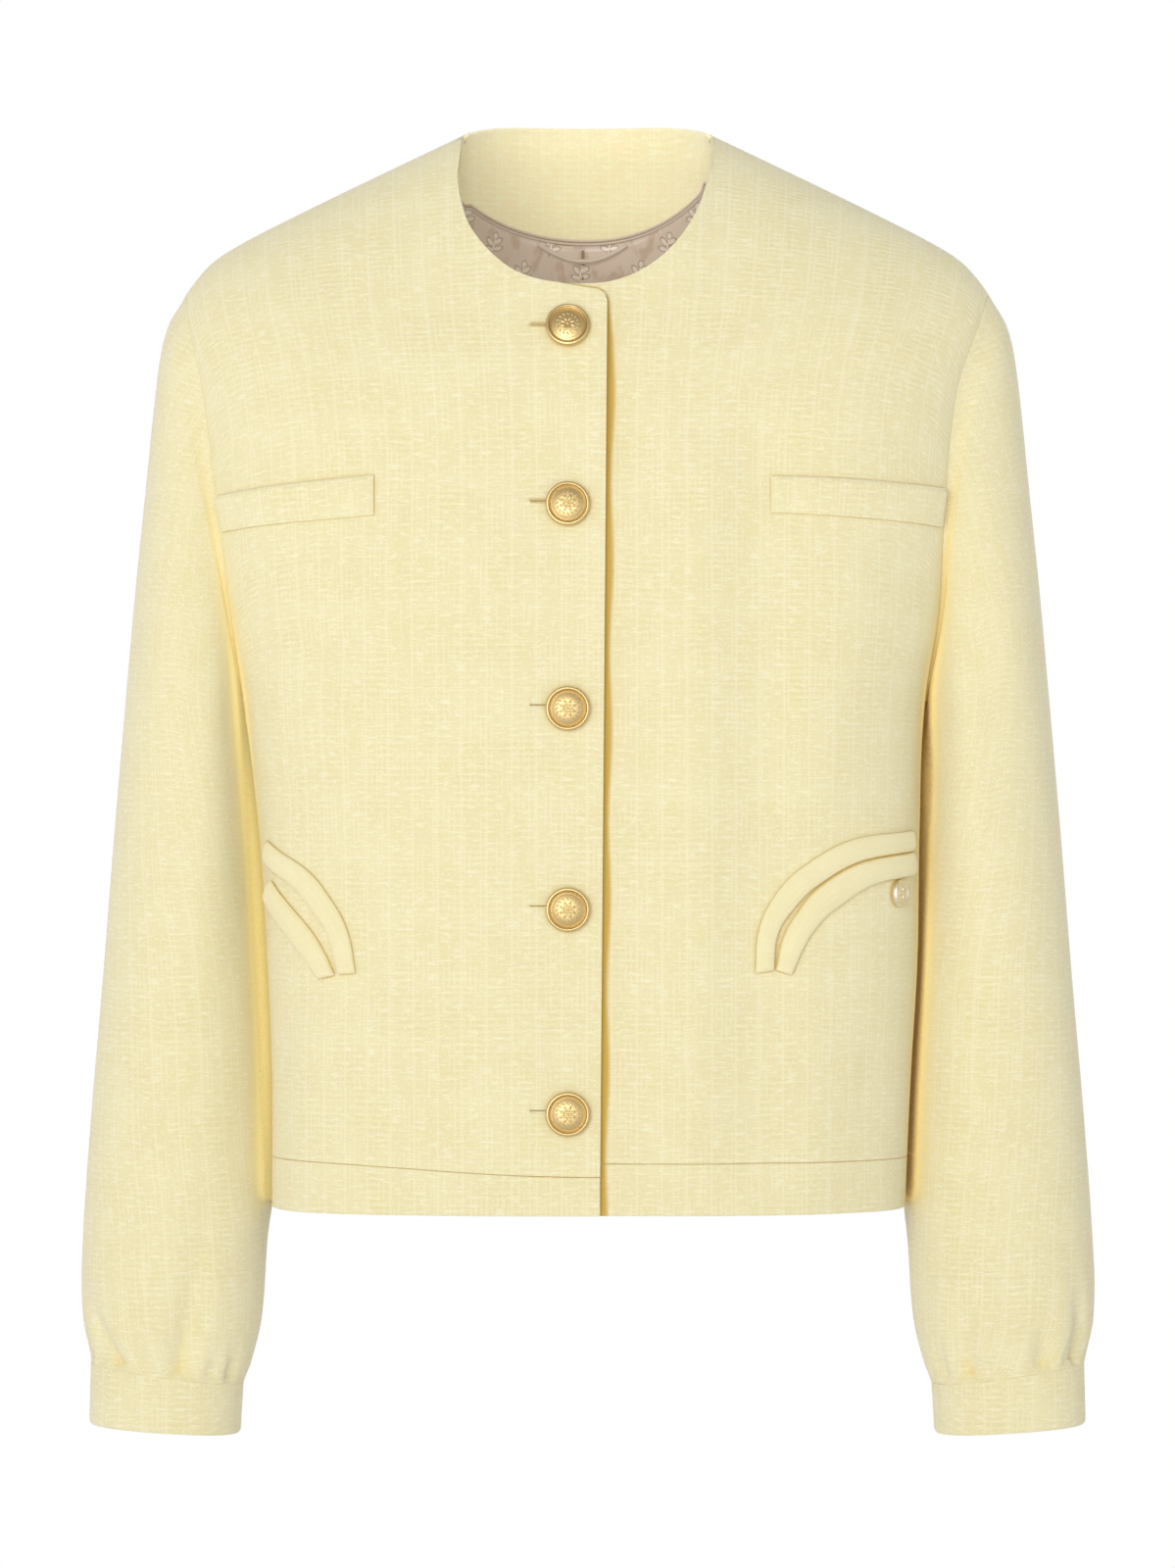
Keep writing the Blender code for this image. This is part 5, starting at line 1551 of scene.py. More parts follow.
def between(tree, value, low, high):
    """0 below low, 1 above high and smooth between."""
    made = add_node(tree, "ShaderNodeMapRange", {"interpolation_type": "SMOOTHSTEP"}, Value=value)
    made.inputs["From Min"].default_value = low
    made.inputs["From Max"].default_value = high
    return made.outputs["Result"]


# %% Colour and material helpers
# A mix node keeps its colour sockets at 6 and 7, and the mixed colour at 2.
MIX_COLOURS = (6, 7)
MIXED_COLOUR = 2
OPENNESS_SAMPLES = 8


def blend_colours(tree, share, first, second):
    """A mix of two colours, each of them three numbers or a node's output."""
    made = tree.nodes.new("ShaderNodeMix")
    made.data_type = "RGBA"
    connect(tree, made.inputs[0], share)
    for number, colour in zip(MIX_COLOURS, (first, second)):
        linked = isinstance(colour, bpy.types.NodeSocket)
        connect(tree, made.inputs[number], colour if linked else (*colour, 1.0))
    return made.outputs[MIXED_COLOUR]


def tint(tree, colour, share, strength, towards):
    """A colour drawn towards another: by the strength where the share is 1."""
    return blend_colours(tree, calc(tree, "MULTIPLY", share, strength), colour, towards)


def new_material(name):
    made = bpy.data.materials.new(name)
    made.use_nodes = True
    return made, made.node_tree, made.node_tree.nodes["Principled BSDF"]


def object_place(tree):
    return add_node(tree, "ShaderNodeTexCoord").outputs["Object"]


def cut_place(tree):
    """Where a place is on the flat cut, in metres."""
    return add_node(tree, "ShaderNodeUVMap", {"uv_map": "weave"}).outputs["UV"]


def axes(tree, vector):
    return add_node(tree, "ShaderNodeSeparateXYZ", Vector=vector).outputs


def add_bump(tree, shader, height, distance, strength=1.0):
    bump = add_node(tree, "ShaderNodeBump", Height=height, Distance=distance, Strength=strength)
    connect(tree, shader.inputs["Normal"], bump.outputs["Normal"])


def set_sockets(shader, **values):
    """Numbers for the shader's own sockets, whose names have _ for a space here."""
    for name, value in values.items():
        shader.inputs[name.replace("_", " ")].default_value = value


def stretched_noise(tree, vector, scales, detail=2.0, offset=0.0):
    """Noise in the cloth's plane, stretched by a scale along each of its two ways."""
    mapping = add_node(tree, "ShaderNodeMapping", Vector=vector)
    mapping.inputs["Scale"].default_value = (*scales, 1.0)
    mapping.inputs["Location"].default_value = (offset, offset, 0.0)
    level = {"noise_dimensions": "2D"}
    made = add_node(tree, "ShaderNodeTexNoise", level, Vector=mapping.outputs[0])
    set_sockets(made, Scale=1.0, Detail=detail)
    return made.outputs["Fac"]


Patches = namedtuple("Patches", "scales detail offset low high")


def patches(tree, uv, kind):
    """Soft edged patches of stretched noise, 1 inside and 0 outside."""
    noise = stretched_noise(tree, uv, kind.scales, kind.detail, kind.offset)
    return between(tree, noise, kind.low, kind.high)


def openness(tree, reach):
    """How much of the sky a place sees past cloth that is nearer than the reach."""
    fine = {"samples": OPENNESS_SAMPLES}
    return add_node(tree, "ShaderNodeAmbientOcclusion", fine, Distance=reach).outputs["AO"]


def closed(tree, sky, low, high):
    """The other way round: 1 where little sky is seen, 0 where much is."""
    return calc(tree, "SUBTRACT", 1.0, between(tree, sky, low, high))


# %% Tweed colours and threads
TWEED_BASE = (0.790, 0.728, 0.466)
TWEED_LIGHT = (0.880, 0.858, 0.672)
TWEED_DEEP = (0.712, 0.620, 0.326)
PAINTED_SOFT_SHADE = (0.790, 0.680, 0.330)
PAINTED_CREASE_SHADE = (0.620, 0.440, 0.110)
PAINTED_DEEP_SHADE = (0.230, 0.120, 0.012)
PAINTED_CREASE_GLOW = (0.300, 0.225, 0.042)
PAINTED_DEEP_GLOW = (0.125, 0.065, 0.004)
PAINTED_LAP_SHADOW = (0.600, 0.400, 0.070)
RIB_PITCH = 0.0032
THREAD_PITCH = 0.00265
PANE_WIDTH = 0.0124
PANE_HEIGHT = 0.031
WANDER = 0.0006
WANDER_SCALES = (60.0, 45.0)
PANE_BEAT = 0.45 * math.pi
ROW_START = 0.6
DOT_EDGES = (-0.2, 0.7)
THREAD_EDGES = (0.1, 0.9)
PANE_EDGES = (0.43, 0.47)
ROW_EDGES = (0.2, 0.9)
RIBBED = Patches((62.0, 24.0), 1.0, 2.2, 0.38, 0.60)
DOTTED = Patches((210.0, 40.0), 1.0, 7.4, 0.45, 0.62)
LEVEL_SLUBS = Patches((150.0, 700.0), 1.0, 0.0, 0.56, 0.72)
FLECKS = Patches((620.0, 620.0), 1.0, 9.1, 0.62, 0.74)
PALE = Patches((38.0, 30.0), 3.0, 5.3, 0.35, 0.75)
DOTS_RANGE = (0.7, 0.3)
RIBS_RANGE = (0.85, 0.15)
RIB_DEPTH = 0.17
BASE_SHARE = 0.62
ROW_DEPTH = 0.08
SLUB_STRENGTH = 0.42
PALE_STRENGTH = 0.1
SLUB_HEIGHT = 0.6
BUMP_HEIGHT = 0.00012
BUMP_STRENGTH = 0.5

# %% Painted shade and painted bounced light
# Each pair is how little and how much of the sky a place sees where a painted tint ends.
SOFT_REACH = 0.016
SOFT_CLOSED = (0.30, 0.95)
SOFT_STRENGTH = 0.55
CREASE_REACH = 0.005
CREASE_CLOSED = (0.22, 0.75)
CREASE_STRENGTH = 0.54
DEEP_CLOSED = (0.00, 0.10)
WARM_CLOSED = (0.02, 0.36)
BESIDE_CLOSED = (0.25, 0.90)
BESIDE_BODY = (-0.560, -0.520)
LAP_STRENGTH = 0.95
LAP_SHADE_WAVE = (0.084, 5.64)
LAP_SHADE_WIDTH = (0.0037, 0.0007)
LAP_SHADE_TOP_WIDTH = 0.001
LAP_SHADE_TOP = (-0.020, 0.004)
LAP_SHADE_EDGE = (-0.0016, 0.0012)


def lap_shade(tree):
    """Painted shadow: the strip of the under front that the standing edge of the lap keeps in shade."""
    x, _, z = axes(tree, object_place(tree))
    slope = (LAP_EDGE - LAP_EDGE_LOW) / (LAP_EDGE_TOP_Z - HEM)
    edge_start = LAP_EDGE - slope * LAP_EDGE_TOP_Z - LAP_CORNER
    edge = calc(tree, "MULTIPLY_ADD", z, slope, edge_start)
    past_edge = calc(tree, "SUBTRACT", x, edge)
    top_start = NECK_SAG_SLOPE * NECK_SAG_START - FRONT_NECK_DROP
    top = calc(tree, "MULTIPLY_ADD", x, -NECK_SAG_SLOPE, top_start)
    above = calc(tree, "ADD", calc(tree, "SUBTRACT", z, top), LAP_CORNER)
    past_edge, over = (calc(tree, "MAXIMUM", way, 0.0) for way in (past_edge, above))
    square = calc(tree, "MULTIPLY_ADD", over, over, calc(tree, "MULTIPLY", past_edge, past_edge))
    beyond = calc(tree, "SUBTRACT", calc(tree, "SQRT", square), LAP_CORNER)
    mean, sway = LAP_SHADE_WIDTH
    swaying = wave(tree, z, *LAP_SHADE_WAVE)
    full = calc(tree, "MULTIPLY_ADD", swaying, sway, mean)
    lower = closed(tree, above, *LAP_SHADE_TOP)
    width = calc(tree, "SUBTRACT", full, LAP_SHADE_TOP_WIDTH)
    width = calc(tree, "MULTIPLY_ADD", width, lower, LAP_SHADE_TOP_WIDTH)
    return closed(tree, calc(tree, "SUBTRACT", beyond, width), *LAP_SHADE_EDGE)


# %% The weave
def weave(tree, coarse):
    """The tweed's colour in the open and the height of its threads, from the cut's UV map."""
    uv = cut_place(tree)
    wander = calc(tree, "MULTIPLY", stretched_noise(tree, uv, WANDER_SCALES), WANDER)
    across, up = (calc(tree, "ADD", way, wander) for way in list(axes(tree, uv))[:2])
    panes = calc(tree, "DIVIDE", across, PANE_WIDTH)
    line = {"noise_dimensions": "1D"}
    chance = add_node(tree, "ShaderNodeTexWhiteNoise", line, W=calc(tree, "FLOOR", panes))
    beat = calc(tree, "MULTIPLY", chance.outputs["Value"], PANE_BEAT)
    ribs = wave(tree, up, RIB_PITCH, beat)
    dots = between(tree, wave(tree, up, RIB_PITCH / 2, beat), *DOT_EDGES)
    threads = between(tree, wave(tree, across, THREAD_PITCH), *THREAD_EDGES)
    ribbed, dotted = patches(tree, uv, RIBBED), patches(tree, uv, DOTTED)
    from_edge = calc(tree, "ABSOLUTE", calc(tree, "SUBTRACT", calc(tree, "FRACT", panes), 0.5))
    upright = calc(tree, "MULTIPLY", threads, dotted)
    upright = calc(tree, "MAXIMUM", between(tree, from_edge, *PANE_EDGES), upright)
    upright = calc(tree, "MULTIPLY", upright, calc(tree, "MULTIPLY_ADD", dots, *DOTS_RANGE))
    slubs = calc(tree, "MAXIMUM", patches(tree, uv, LEVEL_SLUBS), patches(tree, uv, FLECKS))
    slubs = calc(tree, "MAXIMUM", slubs, upright)
    rows = between(tree, wave(tree, up, PANE_HEIGHT, ROW_START), *ROW_EDGES)
    ribs = calc(tree, "MULTIPLY", ribs, calc(tree, "MULTIPLY_ADD", ribbed, *RIBS_RANGE))
    depth_share = calc(tree, "MULTIPLY_ADD", ribs, RIB_DEPTH * coarse, BASE_SHARE)
    depth_share = calc(tree, "MULTIPLY_ADD", rows, ROW_DEPTH, depth_share)
    colour = blend_colours(tree, depth_share, TWEED_DEEP, TWEED_BASE)
    colour = tint(tree, colour, slubs, SLUB_STRENGTH * coarse, TWEED_LIGHT)
    colour = tint(tree, colour, patches(tree, uv, PALE), PALE_STRENGTH, TWEED_LIGHT)
    return colour, calc(tree, "MULTIPLY_ADD", slubs, SLUB_HEIGHT, ribs)


# %% The tweed material
def tweed_material(
    name, glow=0.0, coarse=1.0, under_lap=False, warm=PAINTED_CREASE_GLOW, core=PAINTED_DEEP_GLOW, beside=0.0
):
    """Tweed in the cut's own metres.

    Glow is painted bounced light in the open, warm the painted light in a narrow
    place and core the painted light at its bottom. Beside is the painted warm
    light thrown back by the body on a sleeve's near side, above the hem, and
    coarse is how plain the weave is to see.
    """
    made, tree, shader = new_material(name)
    colour, height = weave(tree, coarse)
    wide, near = openness(tree, SOFT_REACH), openness(tree, CREASE_REACH)
    deep = closed(tree, wide, *DEEP_CLOSED)
    # Painted shade: the colour turns golden and then brown where little sky is seen, in folds, creases
    # and deep gaps.
    colour = tint(tree, colour, closed(tree, wide, *SOFT_CLOSED), SOFT_STRENGTH, PAINTED_SOFT_SHADE)
    creased = closed(tree, near, *CREASE_CLOSED)
    colour = tint(tree, colour, creased, CREASE_STRENGTH, PAINTED_CREASE_SHADE)
    colour = blend_colours(tree, deep, colour, PAINTED_DEEP_SHADE)
    if under_lap:
        # Painted shadow of the lap's standing edge on the under front.
        colour = tint(tree, colour, lap_shade(tree), LAP_STRENGTH, PAINTED_LAP_SHADOW)
    connect(tree, shader.inputs["Base Color"], colour)
    add_bump(tree, shader, height, BUMP_HEIGHT, BUMP_STRENGTH * coarse)
    # Painted bounced light: an emission that glows by glow in the open, by warm in narrow places and
    # beside the body on a sleeve, and by core at the bottom of deep gaps.
    height_up = axes(tree, object_place(tree))[2]
    by_body = between(tree, height_up, *BESIDE_BODY)
    thrown = calc(tree, "MULTIPLY", closed(tree, wide, *BESIDE_CLOSED), by_body)
    glowing = tint(tree, tuple(glow * part for part in TWEED_BASE), thrown, beside, warm)
    glowing = blend_colours(tree, closed(tree, wide, *WARM_CLOSED), glowing, warm)
    glowing = blend_colours(tree, deep, glowing, core)
    connect(tree, shader.inputs["Emission Color"], glowing)
    set_sockets(shader, Emission_Strength=1.0, Roughness=0.92, Specular_IOR_Level=0.2)
    set_sockets(shader, Diffuse_Roughness=0.45, Sheen_Weight=0.25, Sheen_Roughness=0.55)
    return made


# %% Satin lining
SATIN = (0.590, 0.490, 0.400)
SATIN_MOTIF = (0.820, 0.740, 0.630)
SATIN_OUTLINE_AND_PAINTED_SHADE = (0.200, 0.120, 0.060)
SATIN_CLOUD = (0.360, 0.220, 0.100)
SATIN_REACH = 0.0014
SATIN_CLOSED = (0.15, 0.62)
SATIN_CLOUDS = Patches((120.0, 70.0), 2.0, 1.3, 0.50, 0.68)
SATIN_THREADS = (2500.0, 300.0)
CLOUD_STRENGTH = 0.55
SHADE_STRENGTH = 0.6
MOTIF_STRENGTH = 0.8
LINING_PAINTED_GLOW = 0.26
PIPING_PAINTED_GLOW = 0.16
MOTIF_PITCH = (0.0330, 0.0290)
MOTIF_SHIFT = (0.004, 0.006)
OUTLINE = 2.3
PIPING_SATIN = (0.600, 0.500, 0.410)
SPRIG = named_rows(
    "x y length width turn",
    (0.0000, 0.0000, 0.0042, 0.0005, 75),
    (0.0024, 0.0024, 0.0022, 0.0011, 30),
    (-0.0020, 0.0022, 0.0022, 0.0011, 128),
    (0.0024, -0.0012, 0.0022, 0.0010, 12),
    (-0.0026, -0.0014, 0.0021, 0.0010, 160),
    (0.0012, 0.0052, 0.0015, 0.0012, 80),
)


def sprigs(tree, uv, shift):
    """How far each place is from a small leafy sprig that repeats: under 1 is inside it."""
    cell = []
    for way, pitch, moved in zip(axes(tree, uv), MOTIF_PITCH, shift):
        place = calc(tree, "ADD", way, moved)
        cell.append(calc(tree, "WRAP", place, pitch / 2, -pitch / 2))
    nearest = None
    for leaf in SPRIG:
        cosine, sine = math.cos(math.radians(leaf.turn)), math.sin(math.radians(leaf.turn))
        x = calc(tree, "SUBTRACT", cell[0], leaf.x)
        y = calc(tree, "SUBTRACT", cell[1], leaf.y)
        along = calc(tree, "MULTIPLY", y, sine / leaf.length)
        along = calc(tree, "MULTIPLY_ADD", x, cosine / leaf.length, along)
        across = calc(tree, "MULTIPLY", y, cosine / leaf.width)
        across = calc(tree, "MULTIPLY_ADD", x, -sine / leaf.width, across)
        size = calc(tree, "MULTIPLY_ADD", along, along, calc(tree, "MULTIPLY", across, across))
        nearest = size if nearest is None else calc(tree, "MINIMUM", nearest, size)
    return nearest


# %% The satin material
def satin_material(name, colour, with_sprigs):
    """Smooth satin that clouds, with a woven sprig where it lines the jacket."""
    made, tree, shader = new_material(name)
    if with_sprigs:
        uv = cut_place(tree)
        half_drop = [pitch / 2 + shift for pitch, shift in zip(MOTIF_PITCH, MOTIF_SHIFT)]
        size = calc(tree, "MINIMUM", sprigs(tree, uv, MOTIF_SHIFT), sprigs(tree, uv, half_drop))
        leaf = calc(tree, "LESS_THAN", size, 1.0)
        shade = calc(tree, "LESS_THAN", size, OUTLINE)
        cloudy = patches(tree, uv, SATIN_CLOUDS)
        colour = tint(tree, colour, cloudy, CLOUD_STRENGTH, SATIN_CLOUD)
        colour = tint(tree, colour, shade, SHADE_STRENGTH, SATIN_OUTLINE_AND_PAINTED_SHADE)
        colour = tint(tree, colour, leaf, MOTIF_STRENGTH, SATIN_MOTIF)
        threads = stretched_noise(tree, uv, SATIN_THREADS, 1.0)
        height = calc(tree, "MULTIPLY_ADD", leaf, 1.0, threads)
        add_bump(tree, shader, height, 0.00010, 0.6)
    # Painted shade: the satin darkens where little sky is seen, in its creases and where it lies close to
    # other cloth.
    creases = closed(tree, openness(tree, SATIN_REACH), *SATIN_CLOSED)
    connect(tree, shader.inputs["Base Color"], blend_colours(tree, creases, colour, SATIN_OUTLINE_AND_PAINTED_SHADE))
    # Painted light: the satin glows in its own colour, the lining more than the piping, to brighten it in
    # the shade inside the neck.
    glow = LINING_PAINTED_GLOW if with_sprigs else PIPING_PAINTED_GLOW
    set_sockets(shader, Emission_Color=(*SATIN, 1.0), Emission_Strength=glow)
    set_sockets(shader, Roughness=0.34, Specular_IOR_Level=0.6, Sheen_Weight=0.2)
    return made


# %% Gold and thread
TARNISH = (0.380, 0.240, 0.085)
TARNISH_REACH = 0.0012
TARNISH_CLOSED = (0.20, 0.80)
WORN_ROUGHNESS = (0.20, 0.36)
GOLD = (0.710, 0.540, 0.255)
PALE_GOLD = (0.900, 0.830, 0.660)
GOLDEN_SILK = (0.720, 0.580, 0.320)
TAUPE_SILK = (0.200, 0.140, 0.100)


def metal_material(name, colour):
    """Warm polished metal with a fine uneven wear in its roughness."""
    made, tree, shader = new_material(name)
    place = object_place(tree)
    worn = add_node(tree, "ShaderNodeTexNoise", Vector=place, Scale=900.0, Detail=3.0)
    roughness = calc(tree, "MULTIPLY_ADD", worn.outputs["Fac"], *WORN_ROUGHNESS)
    tarnish = closed(tree, openness(tree, TARNISH_REACH), *TARNISH_CLOSED)
    connect(tree, shader.inputs["Base Color"], blend_colours(tree, tarnish, colour, TARNISH))
    connect(tree, shader.inputs["Roughness"], roughness)
    set_sockets(shader, Metallic=1.0)
    return made


def thread_material(name, colour):
    """Silk thread with a fine fibre in it."""
    made, tree, shader = new_material(name)
    place = object_place(tree)
    fibre = add_node(tree, "ShaderNodeTexNoise", Vector=place, Scale=6000.0, Detail=2.0)
    add_bump(tree, shader, fibre.outputs["Fac"], 0.00005)
    set_sockets(shader, Base_Color=(*colour, 1.0), Roughness=0.6, Sheen_Weight=0.2)
    return made


# %% One material for each finish
TWEED_LOOK = tweed_material("pale yellow tweed")
# The pocket welts glow a little by painted light; their weave is plainer.
WELT_LOOK = tweed_material("pale yellow welt tweed", 0.05, coarse=0.35)
# The under front wears the painted shadow of the lap's edge.
UNDER_LAP_LOOK = tweed_material("pale yellow tweed under the lap", under_lap=True)
# The facing glows by painted light, as bright as the front although it lies in the shade inside the neck.
FACING_LOOK = tweed_material("pale yellow facing tweed", 0.30)
# Painted light: the two sleeves are the same tweed with different painted light in the gap beside the
# body, pale and bright on the right sleeve and golden over a dark painted shade on the left.
RIGHT_SLEEVE_LOOK = tweed_material(
    "pale yellow right sleeve tweed",
    warm=(0.50, 0.46, 0.19),
    core=(0.50, 0.44, 0.16),
    beside=0.22,
)
LEFT_SLEEVE_LOOK = tweed_material(
    "pale yellow left sleeve tweed",
    warm=(0.46, 0.34, 0.08),
    core=(0.05, 0.02, 0.001),
    beside=0.12,
)
LINING_LOOK = satin_material("sprigged satin lining", SATIN, True)
PIPING_LOOK = satin_material("plain satin", PIPING_SATIN, False)
GOLD_LOOK = metal_material("polished gold metal", GOLD)
PALE_GOLD_LOOK = metal_material("pale worn gold metal", PALE_GOLD)
THREAD_LOOK = thread_material("golden silk thread", GOLDEN_SILK)
LINING_THREAD_LOOK = thread_material("taupe silk thread", TAUPE_SILK)
print("materials:", len(bpy.data.materials))

# %% Work the buttonholes
points, ways, outs = [], [], []
for seat in BUTTON_SEATS:
    outline = [Vector((x, y, 0.0)) for x, y in hole_outline(int(HOLE_LENGTH / STITCH_SPACING))]
    for before, after in zip(outline, outline[1:]):
        middle = (before + after) / 2
        run = (after - before).normalized()
        outwards = Vector((run.y, -run.x, 0.0))
        if middle.x > -HOLE_EYE and outwards.dot(middle) < 0:
            outwards.negate()
        if middle.x <= -HOLE_EYE:
            outwards = Vector((0.0, math.copysign(1.0, middle.y - HOLE_RISE), 0.0))
        points.append(seat @ (middle + outwards * STITCH_LENGTH * STITCH_OVERHANG))
        ways.append(seat.to_3x3() @ outwards)
        outs.append(seat.to_3x3() @ Vector((0.0, 0.0, 1.0)))
thread = (STITCH_LENGTH, THREAD, THREAD_LOOK)
PIECES["buttonhole stitches"] = sew("buttonhole stitches", points, ways, outs, *thread)
print("buttonhole stitches:", len(points))

# %% [markdown]
# ## Gold buttons
# A domed metal shank button: a flat rim, two fine raised rings, and a domed
# field with a plain eight petalled rosette, a ring of slanted leaves and a ring
# of beads. The body is turned on a lathe, so it is a profile carried round an
# axis. Petals, leaves and beads are rounded knobs, set on it in circles.

# %% Button measures
BUTTON_RADIUS = 0.011
BUTTON_STAND = 0.0008
SHANK_RADIUS = 0.0015
BUTTON_STEPS = 64
SHARP_TURN = 60
KNOB_SINK = 0.0001

# A profile runs from the middle of the top to the foot, as shares of the radius.
BUTTON_DOME = named_rows(
    "radius height",
    (0.000, 0.440), (0.180, 0.437), (0.360, 0.418), (0.520, 0.380),
    (0.660, 0.325), (0.735, 0.285), (0.765, 0.275),
)
BUTTON_RIM = named_rows(
    "radius height",
    (0.785, 0.300), (0.805, 0.345), (0.830, 0.355), (0.848, 0.338),
    (0.858, 0.318), (0.870, 0.340), (0.890, 0.360), (0.915, 0.359),
    (0.935, 0.353), (0.955, 0.346), (0.978, 0.330), (0.994, 0.295),
    (1.000, 0.240), (0.990, 0.150), (0.960, 0.080), (0.800, 0.030),
    (0.550, 0.000),
)
BUTTON_CIRCLES = named_rows(
    "name count start share sink sizes slant segments rings",
    ("petal", 8, 0.5, 0.24, KNOB_SINK, (0.0017, 0.0008, 0.00062), 0, 12, 8),
    ("centre", 1, 0.0, 0.0, 0.0, (0.0009, 0.0009, 0.0007), 0, 12, 8),
    ("leaf", 16, 0.0, 0.48, KNOB_SINK, (0.0011, 0.00042, 0.00042), 40, 10, 6),
    ("bead", 36, 0.0, 0.66, 0.0, (0.0003, 0.0003, 0.0003), 0, 8, 6),
)

# %% Stud measures
STUD_GIRTH = 0.1704
STUD_HEIGHT = -0.3862
STUD_RADIUS = 0.007
STUD_LEAVES = 5
STUD_LEAF_RING = 0.0024
STUD_LEAF = (0.0014, 0.0006, 0.0005)
STUD_PROFILE = named_rows(
    "radius height",
    (0.000, 0.360), (0.250, 0.355), (0.450, 0.335), (0.600, 0.300),
    (0.680, 0.285), (0.740, 0.310), (0.800, 0.390), (0.860, 0.415),
    (0.930, 0.390), (0.980, 0.310), (1.000, 0.220), (0.985, 0.100),
    (0.960, 0.000),
)


# %% Turned bodies and knobs
def profile_rows(profile, radius, stand):
    """A profile at its real radius, standing this far above the cloth."""
    return [(radius * row.radius, stand + radius * row.height) for row in profile]


def turned(name, rows, seat, steps):
    """A solid of revolution through (radius, height) rows, which start and end on its axis."""
    rings = np.array(rows)
    turns = 2 * np.pi * np.arange(steps) / steps
    circle = np.stack([np.cos(turns), np.sin(turns)], axis=-1)
    points = [(0.0, 0.0, rings[0, 1]), (0.0, 0.0, rings[-1, 1])]
    for radius, height in rings[1:-1]:
        points += [(radius * x, radius * y, height) for x, y in circle]
    index = 2 + np.arange((len(rings) - 2) * steps).reshape(-1, steps)
    faces = []
    for i in range(steps):
        k = (i + 1) % steps
        faces.append((0, index[0, i], index[0, k]))
        faces.append((1, index[-1, k], index[-1, i]))
        for low, high in zip(index, index[1:]):
            faces.append((low[k], low[i], high[i], high[k]))
    data = new_mesh(name, points, [tuple(int(v) for v in face) for face in faces])
    data.transform(seat)
    data.shade_smooth()
    data.set_sharp_from_angle(angle=math.radians(SHARP_TURN))
    return new_object(name, data)


def join(name, pieces):
    """Several pieces as one mesh in the same place."""
    mesh = bmesh.new()
    for piece in pieces:
        mesh.from_mesh(piece.data)
    data = mesh_of(name, mesh)
    for piece in pieces:
        bpy.data.objects.remove(piece, do_unlink=True)
    return new_object(name, data)


def knob(name, seat, place, sizes, turn=0.0, segments=12, rings=8):
    """A rounded lump of the given half sizes, set in a seat."""
    mesh = bmesh.new()
    bmesh.ops.create_uvsphere(mesh, u_segments=segments, v_segments=rings, radius=1.0)
    shape = Matrix.Diagonal((*sizes, 1.0))
    mesh.transform(seat @ Matrix.Translation(place) @ Matrix.Rotation(turn, 4, "Z") @ shape)
    data = mesh_of(name, mesh)
    data.shade_smooth()
    return new_object(name, data)


# %% One button
def make_button(number, seat):
    """A turned body with its shank, and circles of knobs on its dome."""
    rows = profile_rows(BUTTON_DOME + BUTTON_RIM, BUTTON_RADIUS, BUTTON_STAND)
    foot = -(LAP_STEP - LAYER_GAP)
    rows += [(SHANK_RADIUS, BUTTON_STAND), (SHANK_RADIUS, foot), (0.0, foot)]
    parts = [turned("button body", rows, seat, BUTTON_STEPS)]
    for circle in BUTTON_CIRCLES:
        reach = BUTTON_RADIUS * circle.share
        height = BUTTON_RADIUS * float(read_curve(BUTTON_DOME, "height", circle.share))
        height = BUTTON_STAND + height - circle.sink
        for i in range(circle.count):
            angle = 2 * math.pi * (i + circle.start) / circle.count
            place = Vector((reach * math.cos(angle), reach * math.sin(angle), height))
            turn = angle + math.radians(circle.slant)
            shape = (circle.sizes, turn, circle.segments, circle.rings)
            parts.append(knob(circle.name, seat, place, *shape))
    return join("gold button %d" % number, parts)


# %% Buttons and stud
for number, seat in enumerate(BUTTON_SEATS, 1):
    PIECES["button %d" % number] = make_button(number, seat)
stud_angle = angle_at_girth(1, np.array([STUD_GIRTH]), np.array([STUD_HEIGHT]))[0]
stud_seat = seat_on_front(1, torso_point(False, stud_angle, STUD_HEIGHT)[0], STUD_HEIGHT)
rows = profile_rows(STUD_PROFILE, STUD_RADIUS, WELT_LIFT)
rows.append((0.0, WELT_LIFT))
stud_parts = [turned("stud body", rows, stud_seat, BUTTON_STEPS)]
for i in range(STUD_LEAVES):
    angle = 2 * math.pi * i / STUD_LEAVES
    place = Vector((math.cos(angle), math.sin(angle), 0.0)) * STUD_LEAF_RING
    place.z = WELT_LIFT + STUD_RADIUS * STUD_PROFILE[1].height - KNOB_SINK
    stud_parts.append(knob("stud leaf", stud_seat, place, STUD_LEAF, angle))
PIECES["pocket stud"] = join("gold pocket stud", stud_parts)
print("one button:", len(PIECES["button 1"].data.polygons), "faces")

# %% [markdown]
# ## Stitches that hold the lining
# A row of small running stitches closes the pleat beside the centre back, and a
# bar tack just under the loop keeps it from tearing open.

# %% Lining stitches
# Heights run from the first stitch down to the last, by this much each time.
PLEAT_STITCH_HEIGHTS = (-0.0660, -0.5000, -0.0040)
TACK_HEIGHTS = (-0.0520, -0.0600, -0.0009)
PLEAT_STITCH_LENGTH = 0.0022
LINING_THREAD = 0.0007
ROW_NEAR_TOP = -40
SHORT_WAY_UP = 0.0005


def on_lining(x, z):
    """A point on the lining's visible face near the centre back, and the way up from it."""
    columns = np.interp([x], BACK_SKIN[ROW_NEAR_TOP, :, 0], np.arange(LAST_COLUMN + 1))
    heights = np.array([[z], [z + SHORT_WAY_UP]])
    places = inside_back(columns, heights, 0.0)
    depth = lining_depth(places[..., 0], heights) + LINING_CLOTH
    points = inside_back(columns, heights, depth)[:, 0]
    return points[0], unit(points[1] - points[0])


